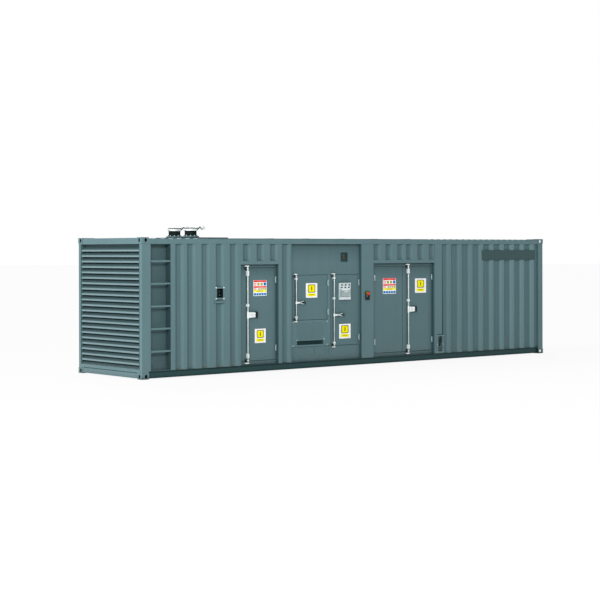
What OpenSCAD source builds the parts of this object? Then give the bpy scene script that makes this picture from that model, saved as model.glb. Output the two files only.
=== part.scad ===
// Containerised diesel generator set: a high-cube steel enclosure with
// service doors, a recessed electrical bay, louvred ends and roof exhausts.
// Origin: centre of the footprint, on the underside of the corner castings.
// +X runs along the length, -Y is the service side, +Z is up. Millimetres.
// Front features are placed by their distance from the left end (x), their
// depth behind the wall plane (d) and their height above the ground (z).

/* [Enclosure] */
// Overall length over the corner castings
box_len = 12192; // [11900:1:13716]
// Overall width over the corner castings
box_wid = 2438; // [2300:1:2600]
// Overall height over the corner castings
box_hgt = 2896; // [2850:1:3100]
// Distance of walls, rails and posts behind the faces of the castings
wall_inset = 6; // [3:1:12]
// Thickness of the walls, from outer sheet to inner lining
wall_t = 136; // [132:1:180]
// Number of facets of a full circle
$fn = 48; // [24:4:96]

/* [Corner castings] */
// Length of a casting along the enclosure
cast_len = 178; // [170:1:200]
// Width of a casting across the enclosure
cast_wid = 162; // [155:1:180]
// Height of a casting
cast_hgt = 118; // [110:1:130]
// Thickness of the casting's outer walls
cast_wall = 16; // [10:1:24]
// Thickness of the casting's top or bottom plate
cast_plate = 28; // [20:1:36]
// Length of the twistlock slot
slot_len = 124; // [110:1:130]
// Width of the twistlock slot
slot_wid = 63.5; // [55:0.5:70]
// Distance of the slot's centre from the end of the enclosure
slot_from_end = 103.5; // [98:0.5:110]
// Distance of the slot's centre from the side of the enclosure
slot_from_side = 89.5; // [85:0.5:95]
// Width of the side and end apertures
aperture_wid = 64; // [50:1:70]
// Height of the side and end apertures
aperture_hgt = 80; // [70:1:84]

/* [Frame] */
// Width of the left corner posts along the wall
post_left = 226; // [200:1:260]
// Width of the right corner posts along the wall
post_right = 172; // [150:1:178]
// Width of the corner posts on the ends
post_end = 90; // [70:1:120]
// Depth of the post's wall flange
post_t = 50; // [40:1:60]
// Depth of the post's end flange, header and sill
end_t = 110; // [105:1:150]
// Distance from the roof corner down to the top of the side rail
rail_drop = 31; // [20:1:40]
// Distance from the ground up to the underside of the bottom rail
rail_lift = 17; // [10:1:30]
// Height of the top side rail
top_rail_h = 105; // [100:1:120]
// Depth of the side rails
rail_t = 60; // [50:1:80]
// Height of the bottom side rail
bottom_rail_h = 143; // [120:1:160]
// Depth of the bottom rail's open channel
channel_d = 45; // [30:1:48]
// Thickness of the bottom rail's flanges
flange_t = 8; // [6:1:14]
// Height of the bottom edge of the end header
header_z = 2756; // [2720:1:2770]
// Distance from the roof corner down to the top of the end header
header_drop = 11; // [6:1:20]
// Height of the top edge of the end sill
sill_z = 200; // [170:1:240]
// Thickness of the floor
floor_t = 30; // [20:1:40]
// Width of a floor cross member
member_w = 60; // [40:1:90]
// Spacing of the floor cross members
member_pitch = 900; // [600:10:1500]

/* [Roof] */
// Thickness of the roof, from top sheet to inner lining
roof_t = 105; // [100:1:112]
// Distance of the roof's first corrugation from the left end
roof_first = 380; // [200:10:400]
// Distance of the left edge of the roof's raised flat part from the left end
roof_flat_x = 1600; // [1300:10:1600]
// Distance of the right edge of the raised flat part from the left end
roof_flat_end = 8180; // [6000:10:9000]
// Height of the raised flat part over the low parts of the roof
roof_flat_rise = 15; // [4:1:18]
// Spacing of the roof corrugations
roof_pitch = 209; // [180:1:240]
// Height of the roof corrugations
roof_rib = 17; // [10:1:20]
// Width of a roof corrugation's crest
roof_crest = 70; // [50:1:90]
// Run of a roof corrugation's slope
roof_slope = 35; // [20:1:45]

/* [Corrugation] */
// Spacing of the wall corrugations
rib_pitch = 370.5; // [350:0.5:400]
// Depth of the wall corrugations
rib_d = 36; // [25:1:45]
// Run of a corrugation's sloping side
rib_slope = 68; // [50:1:75]
// Floor width of the narrow grooves
groove_narrow = 77.5; // [60:0.5:110]
// Floor width of the wide grooves
groove_wide = 155; // [120:1:170]
// Distance of the left wall's first groove from the ladder recess
first_left = 108; // [90:0.5:130]
// Distance of the left wall's second groove from the ladder recess
second_left = 406.5; // [390:0.5:430]
// Distance of the right wall's first groove from the double doorway
first_right = 241; // [200:1:260]
// Floor width of the right wall's first groove
first_right_floor = 96; // [70:1:110]
// Distance of the right wall's second groove from the double doorway
second_right = 551; // [530:1:600]
// Distance of the first groove from the edge of the other sheets
groove_edge = 53; // [40:1:70]
// Distance of the groove from the edge of the strip beside the bay
strip_groove = 89; // [70:1:100]

/* [Louvres] */
// Number of blades at each end
blade_n = 21; // [18:1:21]
// Spacing of the blades
blade_pitch = 116; // [110:1:118]
// Height of the lowest blade's lip
blade_z = 286; // [270:1:300]
// Height of a blade's lip
blade_lip = 35; // [25:1:45]
// Depth and rise of a blade's slope
blade_rise = 80; // [60:1:90]
// Thickness of a blade
blade_t = 5; // [3:1:6]
// Distance of the lips behind the end frame
blade_inset = 10; // [6:1:12]

/* [Ladder] */
// Width of the ladder recess
ladder_w = 496; // [400:1:520]
// Depth of the ladder recess
ladder_d = 166; // [140:1:200]
// Thickness of the recess plates
ladder_plate = 8; // [5:1:12]
// Height of the lowest rung
rung_z = 559; // [450:1:600]
// Spacing of the rungs
rung_pitch = 462; // [400:1:480]
// Number of rungs
rung_n = 5; // [4:1:5]
// Height and depth of a rung's bar
rung_h = 36; // [25:1:45]

/* [Front layout] */
// Distance of the single doorway from the left end
door_1_x = 2537; // [2530:1:2600]
// Width of the single doorway
door_1_w = 1039; // [1000:1:1060]
// Width of the corrugated strip between the single doorway and the bay
strip_w = 364; // [340:1:380]
// Width of the recessed electrical bay
bay_w = 2067; // [2060:1:2120]
// Width of the flat pier between the bay and the double doorway
pier_w = 369; // [330:1:400]
// Width of the double doorway
double_w = 1963; // [1900:1:2000]
// Height of the doorways' lintel above the ground
door_head_z = 2320; // [2310:1:2350]
// Height of the flat band over a doorway
head_band = 75; // [50:1:100]

/* [Door leaves] */
// Depth of the leaves behind the wall plane
reveal = 80; // [70:1:84]
// Thickness of a leaf
leaf_t = 50; // [35:1:52]
// Gap round a leaf
leaf_gap = 8; // [7:1:10]
// Gap between the two leaves of the double doorway
meeting_gap = 10; // [8:1:14]
// Height of the frame strip over a leaf
frame_head = 66; // [50:1:80]
// Height of the frame strip under a leaf
frame_sill = 80; // [60:1:90]
// Width of the frame strip on the hinge side
frame_jamb = 33; // [30:1:45]

/* [Bay] */
// Depth of the bay plate behind the wall plane
bay_d = 68; // [60:1:80]
// Thickness of the hatch and breaker door leaves
bay_leaf_t = 50; // [35:1:55]
// Height of the top edge of the hatch and breaker doors
bay_door_top = 2070; // [2000:1:2080]
// Distance of the hatch from the bay's left side
hatch_off = 80; // [70:1:90]
// Width of the hatch
hatch_w = 1010; // [980:1:1015]
// Height of the hatch's lower edge
hatch_z = 1080; // [1070:1:1150]
// Distance of the breaker door from the bay's right side
breaker_off = 52; // [45:1:60]
// Width of the breaker door
breaker_w = 830; // [780:1:835]
// Height of the breaker door's lower edge
breaker_z = 483; // [480:1:560]

/* [Hinges and lock bars] */
// Length of a hinge
hinge_len = 128; // [110:1:140]
// Radius of a hinge knuckle
knuckle_r = 11; // [10:0.5:11]
// Radius of a hinge pin
pin_r = 6; // [5:0.5:7]
// Clearance of the pin in its knuckle
pin_gap = 0.5; // [0.3:0.1:0.8]
// Distance of the hinge axis in front of the leaf
hinge_out = 16; // [16:0.5:17]
// Width of a hinge plate on the leaf
hinge_plate_w = 40; // [36:1:60]
// Thickness of a hinge plate
hinge_plate_t = 8; // [6:1:9]
// Radius of the door lock bars
bar_r = 17; // [14:0.5:18]
// Radius of the hatch and breaker door lock bars
small_bar_r = 13; // [11:0.5:14]
// Distance of a lock bar's axis in front of the leaf
bar_out = 34; // [33:1:38]
// Clearance of a lock bar in its guides
bar_gap = 1; // [0.5:0.1:1.5]
// Clearance of a lock bar's ends from the keepers
keeper_gap = 6; // [5:0.5:8]
// Thickness of a lock bar's lever
lever_t = 14; // [10:1:18]
// Distance of the door lock bars from the edge of their leaf
bar_inset = 214; // [150:1:230]
// Distance of the double door's lock bar from the edge of its leaf
double_bar_inset = 158; // [140:1:200]
// Distance of the small lock bars from the edge of their leaf
small_bar_inset = 80; // [75:1:95]
// Height of a door lever at the bar
lever_root = 135; // [60:1:140]
// Height of a door lever at its tip
lever_tip = 105; // [40:1:120]
// Height of a hatch or breaker door lever at the bar
small_lever_root = 36; // [30:1:44]
// Height of a hatch or breaker door lever's fork at its tips
small_lever_tip = 84; // [76:1:90]
// Length of the fork of a hatch or breaker door lever
fork_len = 100; // [80:1:110]
// Thickness of the fork's prongs
prong_t = 14; // [10:1:16]
// Diameter of the catch at the tip of a door lever
catch_dia = 44; // [40:1:70]
// Diameter of the catch at the tip of a hatch or breaker door lever
small_catch_dia = 40; // [30:1:50]
// Reach of the door keepers beside the bar
keeper_reach = 65; // [50:1:120]
// Reach of the hatch keepers beside the bar
hatch_keeper_reach = 52; // [40:1:95]
// Reach of the breaker door keepers beside the bar
breaker_keeper_reach = 52; // [40:1:75]
// Width of a hinge's plates on the bay frame
bay_hinge_plate = 30; // [20:1:36]

/* [Small equipment] */
// Width of the socket box
socket_w = 239; // [220:1:250]
// Height of the socket box
socket_h = 271; // [250:1:290]
// Depth of the socket box
socket_depth = 100; // [80:1:110]
// Width of the socket box's rim
socket_rim = 38; // [25:1:50]
// Distance of the socket box from the left end
socket_x = 1863; // [1800:1:1900]
// Height of the socket box's lower edge
socket_z = 1585; // [1500:1:1650]
// Size of the square lamp recess
lamp_w = 213; // [180:1:230]
// Depth of the lamp recess
lamp_depth = 60; // [40:1:62]
// Distance of the lamp recess from the bay's left side
lamp_off = 1485; // [1300:1:1700]
// Height of the lamp recess's lower edge
lamp_z = 2359; // [2340:1:2400]
// Radius of the lamp
lamp_r = 32; // [20:1:60]
// Width of the breaker unit
unit_w = 332; // [310:1:400]
// Height of the breaker unit
unit_h = 384; // [360:1:420]
// Projection of the breaker unit
unit_d = 38; // [30:1:50]
// Distance of the breaker unit from the breaker door's left edge
unit_off = 240; // [190:1:260]
// Height of the breaker unit's lower edge
unit_z = 1502; // [1450:1:1510]
// Width of the breaker unit's front block
unit_front_w = 240; // [200:1:260]
// Height of the breaker unit's front block
unit_front_h = 168; // [150:1:220]
// Projection of the breaker unit's front block
unit_front_d = 18; // [10:1:24]
// Width of the emergency stop box
stop_w = 110; // [100:1:140]
// Height of the emergency stop box
stop_h = 189; // [170:1:200]
// Projection of the emergency stop box
stop_d = 34; // [30:1:75]
// Distance of the emergency stop box from the pier's left edge
stop_off = 108; // [90:1:130]
// Height of the emergency stop box's lower edge
stop_z = 1489; // [1400:1:1600]
// Distance of the button's centre from the box's upper edge
stop_button_drop = 49; // [40:1:60]
// Radius of the emergency stop button
stop_r = 31; // [25:1:35]
// Thickness of the emergency stop button's head
stop_head = 20; // [14:1:26]
// Travel of the emergency stop button
stop_travel = 6; // [4:0.5:8]
// Radius of the emergency stop button's stem
stem_r = 10; // [7:0.5:12]
// Width of the fuel connection box
fuel_w = 233; // [220:1:240]
// Height of the fuel connection box
fuel_h = 426; // [400:1:440]
// Depth of the fuel connection box
fuel_depth = 90; // [75:1:105]
// Width of the fuel connection box's side rims
fuel_rim = 53; // [30:1:60]
// Height of the fuel connection box's upper and lower rims
fuel_rim_h = 38; // [25:1:50]
// Distance of the fuel connection box from the double doorway
fuel_off = 71; // [60:1:80]
// Height of the fuel connection box's lower edge
fuel_z = 172; // [165:1:200]
// Radius of the fuel port
port_r = 48; // [35:1:55]
// Length of the fuel port
port_len = 60; // [40:1:70]
// Distance of the fuel port's centre from the box's upper edge
port_drop = 110; // [100:1:140]
// Width of the cable slot
cable_w = 767; // [700:1:800]
// Height of the cable slot
cable_h = 91; // [80:1:100]
// Height of the cable slot's lower edge
cable_z = 526; // [510:1:560]

/* [Exhausts] */
// Distance of the exhaust outlets from the left end
exhaust_x = 1876; // [1870:1:2000]
// Spacing of the two exhaust outlets
exhaust_pitch = 604; // [560:1:640]
// Outer radius of an outlet pipe
pipe_r = 122; // [110:1:130]
// Thickness of an outlet pipe
pipe_t = 8; // [5:1:10]
// Height of an outlet pipe above its cover plate
pipe_h = 198; // [180:1:230]
// Height of the clamp ring round the top of a pipe
ring_h = 45; // [30:1:60]
// Projection of the clamp ring and the lid round a pipe
ring_out = 20; // [6:1:24]
// Radius of the flange round an outlet
pipe_flange_r = 168; // [160:1:185]
// Thickness of the flange round an outlet
pipe_flange_t = 14; // [8:1:18]
// Length of the bolted cover plate under the exhausts
cover_len = 1030; // [900:1:1200]
// Width of the bolted cover plate
cover_wid = 1240; // [1150:1:1400]
// Height of the cover plate above the roof
cover_h = 14; // [6:1:20]
// Distance of the cover plate's left edge from the exhausts' axis
cover_back = 270; // [200:1:276]
// Distance of a rain cap's hinge from the pipe
cap_hinge_gap = 104; // [100:1:120]
// Height of a rain cap's hinge above the lid
cap_hinge_rise = 22; // [20:1:30]
// Distance of a rain cap's counterweight from the hinge
cap_arm = 92; // [85:1:100]
// Radius of a rain cap's counterweight
cap_weight_r = 43; // [35:1:44]
// Width of a rain cap's counterweight
cap_weight_w = 64; // [50:1:70]
// Width of a rain cap's strap
strap_w = 40; // [30:1:40]
// Thickness of a rain cap's strap
strap_t = 12; // [8:1:14]

/* [Hidden] */
eps = 1;
half_len = box_len / 2;
face_y = -box_wid / 2 + wall_inset;
wall_bot = rail_lift + bottom_rail_h;
rail_top = box_hgt - rail_drop;
wall_top = rail_top - top_rail_h;
header_top = box_hgt - header_drop;
floor_z = wall_bot - floor_t;
roof_top = wall_top + roof_t;
ladder_x = post_left;
left_wall_x = ladder_x + ladder_w;
strip_x = door_1_x + door_1_w;
bay_x = strip_x + strip_w;
pier_x = bay_x + bay_w;
double_x = pier_x + pier_w;
right_wall_x = double_x + double_w;
right_wall_end = box_len - post_right;

leaf_z0 = wall_bot + frame_sill + leaf_gap;
leaf_z1 = door_head_z - frame_head - leaf_gap;
door_hinges = [501, 1983];
door_1_leaf_x0 = door_1_x + leaf_gap;
door_1_leaf_x1 = strip_x - frame_jamb - leaf_gap;
door_1_axis = strip_x - frame_jamb - leaf_gap / 2;
double_mid = double_x + double_w / 2;
left_leaf_x0 = double_x + frame_jamb + leaf_gap;
left_leaf_x1 = double_mid - meeting_gap / 2;
left_axis = double_x + frame_jamb + leaf_gap / 2;
right_leaf_x0 = double_mid + meeting_gap / 2;
right_leaf_x1 = right_wall_x - frame_jamb - leaf_gap;
right_axis = right_wall_x - frame_jamb - leaf_gap / 2;

hatch_x0 = bay_x + hatch_off;
hatch_x1 = hatch_x0 + hatch_w;
hatch_axis = hatch_x1 + leaf_gap / 2;
hatch_hinges = [1244, 1892];
breaker_x1 = pier_x - breaker_off;
breaker_x0 = breaker_x1 - breaker_w;
breaker_axis = breaker_x1 + leaf_gap / 2;
breaker_hinges = [646, 1890];
bay_cut_top = bay_door_top + leaf_gap;
bay_cut_bot = breaker_z - leaf_gap;
cable_top = hatch_z - leaf_gap;

door_bar_x = door_1_leaf_x0 + bar_inset;
double_bar_x = right_leaf_x0 + double_bar_inset;
hatch_bar_x = hatch_x0 + small_bar_inset;
breaker_bar_x = breaker_x0 + small_bar_inset;
door_keepers = [200, 2285];
hatch_keepers = [1047, 2092];
breaker_keepers = [449, 2092];
keeper_t = 22;
small_keeper_t = 18;
lever_len = 206;
hatch_lever_len = 210;
breaker_lever_len = 246;
door_lever_z = 1235;
hatch_lever_z = 1467;
breaker_lever_z = 1167;
guide_cheek = 7;
guide_skin = 4;
keeper_cheek = 6;
catch_out = 12;
// Each guide's centre height and its height
door_guides = [[358, 98], [1446, 60], [2130, 107]];
hatch_guides = [[1144, 44], [1996, 44]];
breaker_guides = [[546, 44], [1543, 44], [1998, 44]];

lamp_x = bay_x + lamp_off;
lamp_rim = 8;
lamp_len = 30;
unit_x = breaker_x0 + unit_off;
unit_front_z = unit_z + 76;
stop_x = pier_x + stop_off;
stop_button_z = stop_z + stop_h - stop_button_drop;
stop_head_gap = 5;
stem_end = 6;
stem_in = 16;
fuel_x = right_wall_x + fuel_off;
box_back = 12;

roof_gap = roof_pitch - roof_crest - 2 * roof_slope;
roof_flat_top = roof_top + roof_flat_rise;
cover_top = roof_flat_top + cover_h;
pipe_top = cover_top + pipe_h;
lid_gap = 6;
lid_t = 8;
lid_r = pipe_r + ring_out;
ear_gap = 6;
ear_t = 12;
ear_y = strap_w / 2 + ear_gap + ear_t / 2;
ear_r = 13;
cap_boss_r = 14;
cap_axis_x = exhaust_x + pipe_r + cap_hinge_gap;
cap_axis_z = pipe_top + lid_gap + lid_t + cap_hinge_rise;
steel = [0.37, 0.49, 0.51];
dark_steel = [0.20, 0.29, 0.30];
zinc = [0.78, 0.80, 0.80];
black = [0.06, 0.08, 0.08];
grey = [0.62, 0.68, 0.69];
amber = [0.8, 0.4, 0.1];
red = [0.75, 0.15, 0.12];

// ---- helpers -------------------------------------------------------------

// Moves a shape to a place on the front wall
module on_front(x, d, z) translate([x - half_len, face_y + d, z]) children();

// A block between two distances, two depths and two heights on the front
module slab(x0, x1, d0, d1, z0, z1)
    on_front(x0, d0, z0) cube([x1 - x0, d1 - d0, z1 - z0]);

// The shape and its mirror image on the back wall
module both_sides() {
    children();
    mirror([0, 1, 0]) children();
}

// The shape and its mirror image at the right end
module both_ends() {
    children();
    mirror([1, 0, 0]) children();
}

// A slot with round ends, long axis along X, centred
module obround(length, width, height) {
    run = (length - width) / 2;
    for (side = [-1, 1])
        translate([side * run, 0, 0]) cylinder(r = width / 2, h = height, center = true);
    cube([2 * run, width, height], center = true);
}

// A section in the depth and height plane, run along X between two distances
module along_wall(x0, x1)
    on_front(x0, 0, 0) rotate([90, 0, 90]) linear_extrude(x1 - x0) children();

// A vertical round bar on the front
module post_rod(x, d, r, z0, z1) on_front(x, d, z0) cylinder(r = r, h = z1 - z0);

// One groove of a corrugated wall, open towards the outside
module groove(start, floor_w)
    translate([start, 0])
        polygon([[0, -eps], [0, 0], [rib_slope, rib_d], [rib_slope + floor_w, rib_d],
                 [2 * rib_slope + floor_w, 0], [2 * rib_slope + floor_w, -eps]]);

// A corrugated wall on the front: extra takes a groove [start, floor] of its own
module corrugated(x0, x1, z0, z1, first, floor_w, extra = []) {
    length = x1 - x0;
    count = ceil((length - first) / rib_pitch);
    on_front(x0, 0, z0) linear_extrude(z1 - z0) difference() {
        square([length, wall_t]);
        for (i = [0 : count - 1]) groove(first + i * rib_pitch, floor_w);
        for (g = extra) groove(g[0], g[1]);
    }
}

// ---- frame ---------------------------------------------------------------

// One bottom casting, its outer corner at the origin
module casting() {
    inner = cast_hgt - 2 * cast_plate;
    difference() {
        cube([cast_len, cast_wid, cast_hgt]);
        translate([cast_wall, cast_wall, cast_plate])
            cube([cast_len - 2 * cast_wall, cast_wid - 2 * cast_wall, inner]);
        translate([slot_from_end, slot_from_side, 0]) obround(slot_len, slot_wid, 2 * cast_plate + eps);
        translate([0, slot_from_side, cast_hgt / 2]) rotate([0, 90, 0])
            obround(aperture_hgt, aperture_wid, 2 * cast_wall + eps);
        translate([slot_from_end, 0, cast_hgt / 2]) rotate([0, 90, 90])
            obround(aperture_hgt, aperture_wid, 2 * cast_wall + eps);
    }
}

module corner_castings()
    color(steel) both_ends() both_sides() translate([-half_len, -box_wid / 2, 0]) {
        casting();
        translate([0, 0, box_hgt]) mirror([0, 0, 1]) casting();
    }

// One post of the given wall width, its outer corner at the left front
module corner_post(width) {
    translate([-half_len + wall_inset, face_y, 0]) {
        translate([0, 0, cast_hgt]) linear_extrude(box_hgt - 2 * cast_hgt) {
            square([min(width, cast_len) - wall_inset, post_t]);
            square([end_t, post_end]);
        }
        translate([0, 0, wall_bot]) cube([width - wall_inset, post_t, wall_top - wall_bot]);
    }
}

module corner_posts()
    color(steel) both_sides() {
        corner_post(post_left);
        mirror([1, 0, 0]) corner_post(post_right);
    }

module top_side_rails()
    color(steel) both_sides() slab(cast_len, box_len - cast_len, 0, rail_t, wall_top, rail_top);

module bottom_side_rails()
    color(dark_steel) both_sides() along_wall(cast_len, box_len - cast_len)
        polygon([[0, rail_lift], [rail_t, rail_lift], [rail_t, wall_bot], [0, wall_bot],
                 [0, wall_bot - flange_t], [channel_d, wall_bot - flange_t],
                 [channel_d, rail_lift + flange_t], [0, rail_lift + flange_t]]);

// One end rail: between the castings, and between the posts where it passes them
module end_rail(depth, z0, z1, post_z0, post_z1) {
    x0 = -half_len + wall_inset;
    between_castings = box_wid - 2 * cast_wid;
    between_posts = box_wid - 2 * (wall_inset + post_end);
    translate([x0, -between_castings / 2, z0]) cube([depth, between_castings, z1 - z0]);
    translate([x0, -between_posts / 2, post_z0]) cube([end_t, between_posts, post_z1 - post_z0]);
}

module end_rails()
    color(steel) both_ends() {
        end_rail(cast_len - wall_inset, header_z, header_top, header_z, box_hgt - cast_hgt);
        end_rail(end_t, rail_lift, sill_z, cast_hgt, sill_z);
    }

module cross_members() {
    clear_len = box_len - 2 * (wall_inset + end_t);
    count = floor(clear_len / member_pitch);
    pitch = clear_len / (count + 1);
    depth = box_wid - 2 * (wall_inset + rail_t);
    color(dark_steel) for (i = [1 : count])
        translate([-clear_len / 2 + i * pitch - member_w / 2, -depth / 2, rail_lift])
            cube([member_w, depth, floor_z - rail_lift]);
}

module floor() {
    length = box_len - 2 * (wall_inset + end_t);
    depth = box_wid - 2 * (wall_inset + rail_t);
    color(dark_steel) translate([-length / 2, -depth / 2, floor_z]) cube([length, depth, floor_t]);
}

// One crest of the roof's corrugation, as points of the section's outline
function roof_crest_points(x) = [
    [x + 2 * roof_slope + roof_crest, roof_t],
    [x + roof_slope + roof_crest, roof_t + roof_rib],
    [x + roof_slope, roof_t + roof_rib],
    [x, roof_t]];

// The crests of a corrugated part of the roof, from its right edge to its left edge
function roof_crests(start, end) =
    [for (i = [floor((end - start + roof_gap) / roof_pitch) - 1 : -1 : 0])
        each roof_crest_points(start + i * roof_pitch)];

// The roof's section along the length: a raised flat part with corrugations at both sides
module roof_section() {
    length = box_len - 2 * cast_len;
    flat = [roof_flat_x - cast_len, roof_flat_end - cast_len];
    flat_top = roof_t + roof_flat_rise;
    polygon(concat([[0, 0], [length, 0], [length, roof_t]],
                   roof_crests(flat[1] + roof_gap, length),
                   [[flat[1], roof_t], [flat[1], flat_top], [flat[0], flat_top], [flat[0], roof_t]],
                   roof_crests(roof_first - cast_len, flat[0]),
                   [[0, roof_t]]));
}

module roof() {
    length = box_len - 2 * cast_len;
    depth = box_wid - 2 * (wall_inset + rail_t);
    color(steel) translate([-length / 2, depth / 2, wall_top])
        rotate([90, 0, 0]) linear_extrude(depth) roof_section();
}

// A section in the length and height plane, run across the end between its posts
module across_end(z) {
    width = box_wid - 2 * (wall_inset + post_end);
    translate([-half_len + wall_inset + blade_inset, width / 2, z]) rotate([90, 0, 0])
        linear_extrude(width) children();
}

// The blades, with a slope behind the sill and a plate over the top blade that close the ends
module louvre_blades() {
    blade_top = blade_lip + blade_rise - blade_t;
    top_z = blade_z + (blade_n - 1) * blade_pitch + blade_top - blade_t;
    color(steel) both_ends() {
        for (i = [0 : blade_n - 1])
            across_end(blade_z + i * blade_pitch)
                polygon([[0, 0], [blade_t, 0], [blade_t, blade_lip - blade_t],
                         [blade_rise, blade_top - blade_t], [blade_rise, blade_top], [0, blade_lip]]);
        across_end(sill_z)
            polygon([[0, 0], [blade_t, 0], [blade_rise, blade_rise - blade_t],
                     [blade_rise, blade_rise]]);
        across_end(top_z) translate([blade_rise - blade_t, 0]) square([blade_t, header_z - top_z]);
    }
}

// ---- ladder --------------------------------------------------------------

module ladder_recess() {
    x1 = ladder_x + ladder_w;
    color(dark_steel) difference() {
        slab(ladder_x, x1, 0, ladder_d + ladder_plate, wall_bot, wall_top);
        slab(ladder_x + ladder_plate, x1 - ladder_plate, -eps, ladder_d,
             wall_bot + ladder_plate, wall_top - ladder_plate);
    }
}

module ladder_rungs()
    color(steel) for (i = [0 : rung_n - 1])
        slab(ladder_x + ladder_plate, ladder_x + ladder_w - ladder_plate, 0, rung_h,
             rung_z - rung_h / 2 + i * rung_pitch, rung_z + rung_h / 2 + i * rung_pitch);

// ---- walls ---------------------------------------------------------------

module front_wall()
    color(steel) difference() {
        union() {
            corrugated(left_wall_x, door_1_x, wall_bot, wall_top, second_left, groove_narrow,
                       [[first_left, groove_narrow]]);
            corrugated(right_wall_x, right_wall_end, wall_bot, wall_top, second_right, groove_wide,
                       [[first_right, first_right_floor]]);
        }
        slab(socket_x, socket_x + socket_w, -eps, socket_depth, socket_z, socket_z + socket_h);
        slab(fuel_x, fuel_x + fuel_w, -eps, fuel_depth, fuel_z, fuel_z + fuel_h);
    }

// The wall over one doorway: a flat band, then corrugated sheets up to the rail
module header_over(x0, sheets) {
    x1 = sheets[len(sheets) - 1][1];
    slab(x0, x1, 0, wall_t, door_head_z, door_head_z + head_band + eps);
    for (s = sheets)
        corrugated(s[0], s[1], door_head_z + head_band, wall_top, s[2], groove_narrow);
}

module door_headers() {
    header_over(door_1_x, [[door_1_x, strip_x, groove_edge]]);
    header_over(double_x, [[double_x, double_mid, 0],
                           [double_mid, right_wall_x, groove_edge - leaf_gap]]);
}

module wall_headers() color(steel) both_sides() door_headers();

module front_piers()
    color(steel) {
        corrugated(strip_x, bay_x, wall_bot, wall_top, strip_groove, groove_narrow);
        slab(pier_x, double_x, 0, wall_t, wall_bot, wall_top);
    }

module bay_wall()
    color(steel) difference() {
        union() {
            slab(bay_x, pier_x, bay_d, wall_t, bay_cut_top, wall_top);
            slab(bay_x, pier_x, bay_d, wall_t, wall_bot, bay_cut_bot);
        }
        slab(lamp_x, lamp_x + lamp_w, bay_d - eps, bay_d + lamp_depth, lamp_z, lamp_z + lamp_w);
    }

module bay_wall_posts()
    color(steel) {
        slab(bay_x, hatch_x0 - leaf_gap, bay_d, wall_t, bay_cut_bot, bay_cut_top);
        slab(hatch_x1 + leaf_gap, breaker_x0 - leaf_gap, bay_d, wall_t, bay_cut_bot, bay_cut_top);
        slab(breaker_x1 + leaf_gap, pier_x, bay_d, wall_t, bay_cut_bot, bay_cut_top);
    }

// Frame strips of one doorway: head, sill and the jambs beside the hinges
module door_frame(x0, x1, left_jamb, right_jamb) {
    z0 = wall_bot + frame_sill;
    z1 = door_head_z - frame_head;
    slab(x0, x1, reveal, wall_t, wall_bot, z0);
    slab(x0, x1, reveal, wall_t, z1, door_head_z);
    if (left_jamb) slab(x0, x0 + frame_jamb, reveal, wall_t, z0 + eps, z1 - eps);
    if (right_jamb) slab(x1 - frame_jamb, x1, reveal, wall_t, z0 + eps, z1 - eps);
}

module door_frames()
    color(steel) both_sides() {
        door_frame(door_1_x, strip_x, false, true);
        door_frame(double_x, right_wall_x, true, true);
    }

module back_wall()
    color(steel) mirror([0, 1, 0]) {
        corrugated(post_left, door_1_x, wall_bot, wall_top, groove_edge, groove_narrow);
        corrugated(strip_x, double_x, wall_bot, wall_top, groove_edge, groove_narrow);
        corrugated(right_wall_x, right_wall_end, wall_bot, wall_top, second_right, groove_wide,
                   [[first_right, first_right_floor]]);
    }

// ---- door leaves and their fittings ---------------------------------------

// A hinge's part on the leaf: one knuckle and its plate; side is +1 at the right
module leaf_hinge(x, d, z, side) {
    third = hinge_len / 3 - 2;
    difference() {
        union() {
            post_rod(x, d - hinge_out, knuckle_r, z - third / 2, z + third / 2);
            slab(min(x, x - side * hinge_plate_w), max(x, x - side * hinge_plate_w),
                 d - hinge_plate_t, d, z - third / 2, z + third / 2);
        }
        post_rod(x, d - hinge_out, pin_r + pin_gap, z - third, z + third);
    }
}

// A hinge's part on the frame: two knuckles, their plates and the pin
module frame_hinge(x, d, z, side, plate_w) {
    third = hinge_len / 3;
    post_rod(x, d - hinge_out, pin_r, z - hinge_len / 2, z + hinge_len / 2);
    for (end = [-1, 1]) {
        z0 = z + end * third - third / 2;
        post_rod(x, d - hinge_out, knuckle_r, z0, z0 + third);
        slab(min(x, x + side * plate_w), max(x, x + side * plate_w), d - hinge_plate_t, d, z0, z0 + third);
    }
}

// A guide block on the leaf that a lock bar turns in
module guide(x, d, r, z, height) {
    face = d - bar_out - r - guide_skin;
    difference() {
        slab(x - r - guide_cheek, x + r + guide_skin, face, d, z - height / 2, z + height / 2);
        post_rod(x, d - bar_out, r + bar_gap, z - height, z + height);
    }
}

// The dark catch on the leaf that holds the end of a lever
module catch(x, d, z, size) on_front(x + size / 2, d, z)
    rotate([90, 0, 0]) cylinder(d = size, h = bar_out + catch_out);

// Two fixed keeper plates at the ends of a lock bar
module keepers(x, d, r, heights, t, reach)
    for (z = heights)
        slab(x - reach, x + r + keeper_cheek, d - bar_out - r, d, z - t / 2, z + t / 2);

// A lock bar between its keepers; the lever's outline is its child, drawn from the axis
module lock_bar(x, d, r, heights, t, lever_z) {
    z0 = heights[0] + t / 2 + keeper_gap;
    z1 = heights[1] - t / 2 - keeper_gap;
    post_rod(x, d - bar_out, r, z0, z1);
    on_front(x, d - bar_out + lever_t / 2, lever_z) rotate([90, 0, 0])
        linear_extrude(lever_t) children();
}

// The outline of a wide, tapered door lever
module wide_lever()
    polygon([[0, -lever_root / 2], [lever_len, -lever_tip / 2], [lever_len, lever_tip / 2],
             [0, lever_root / 2]]);

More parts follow.
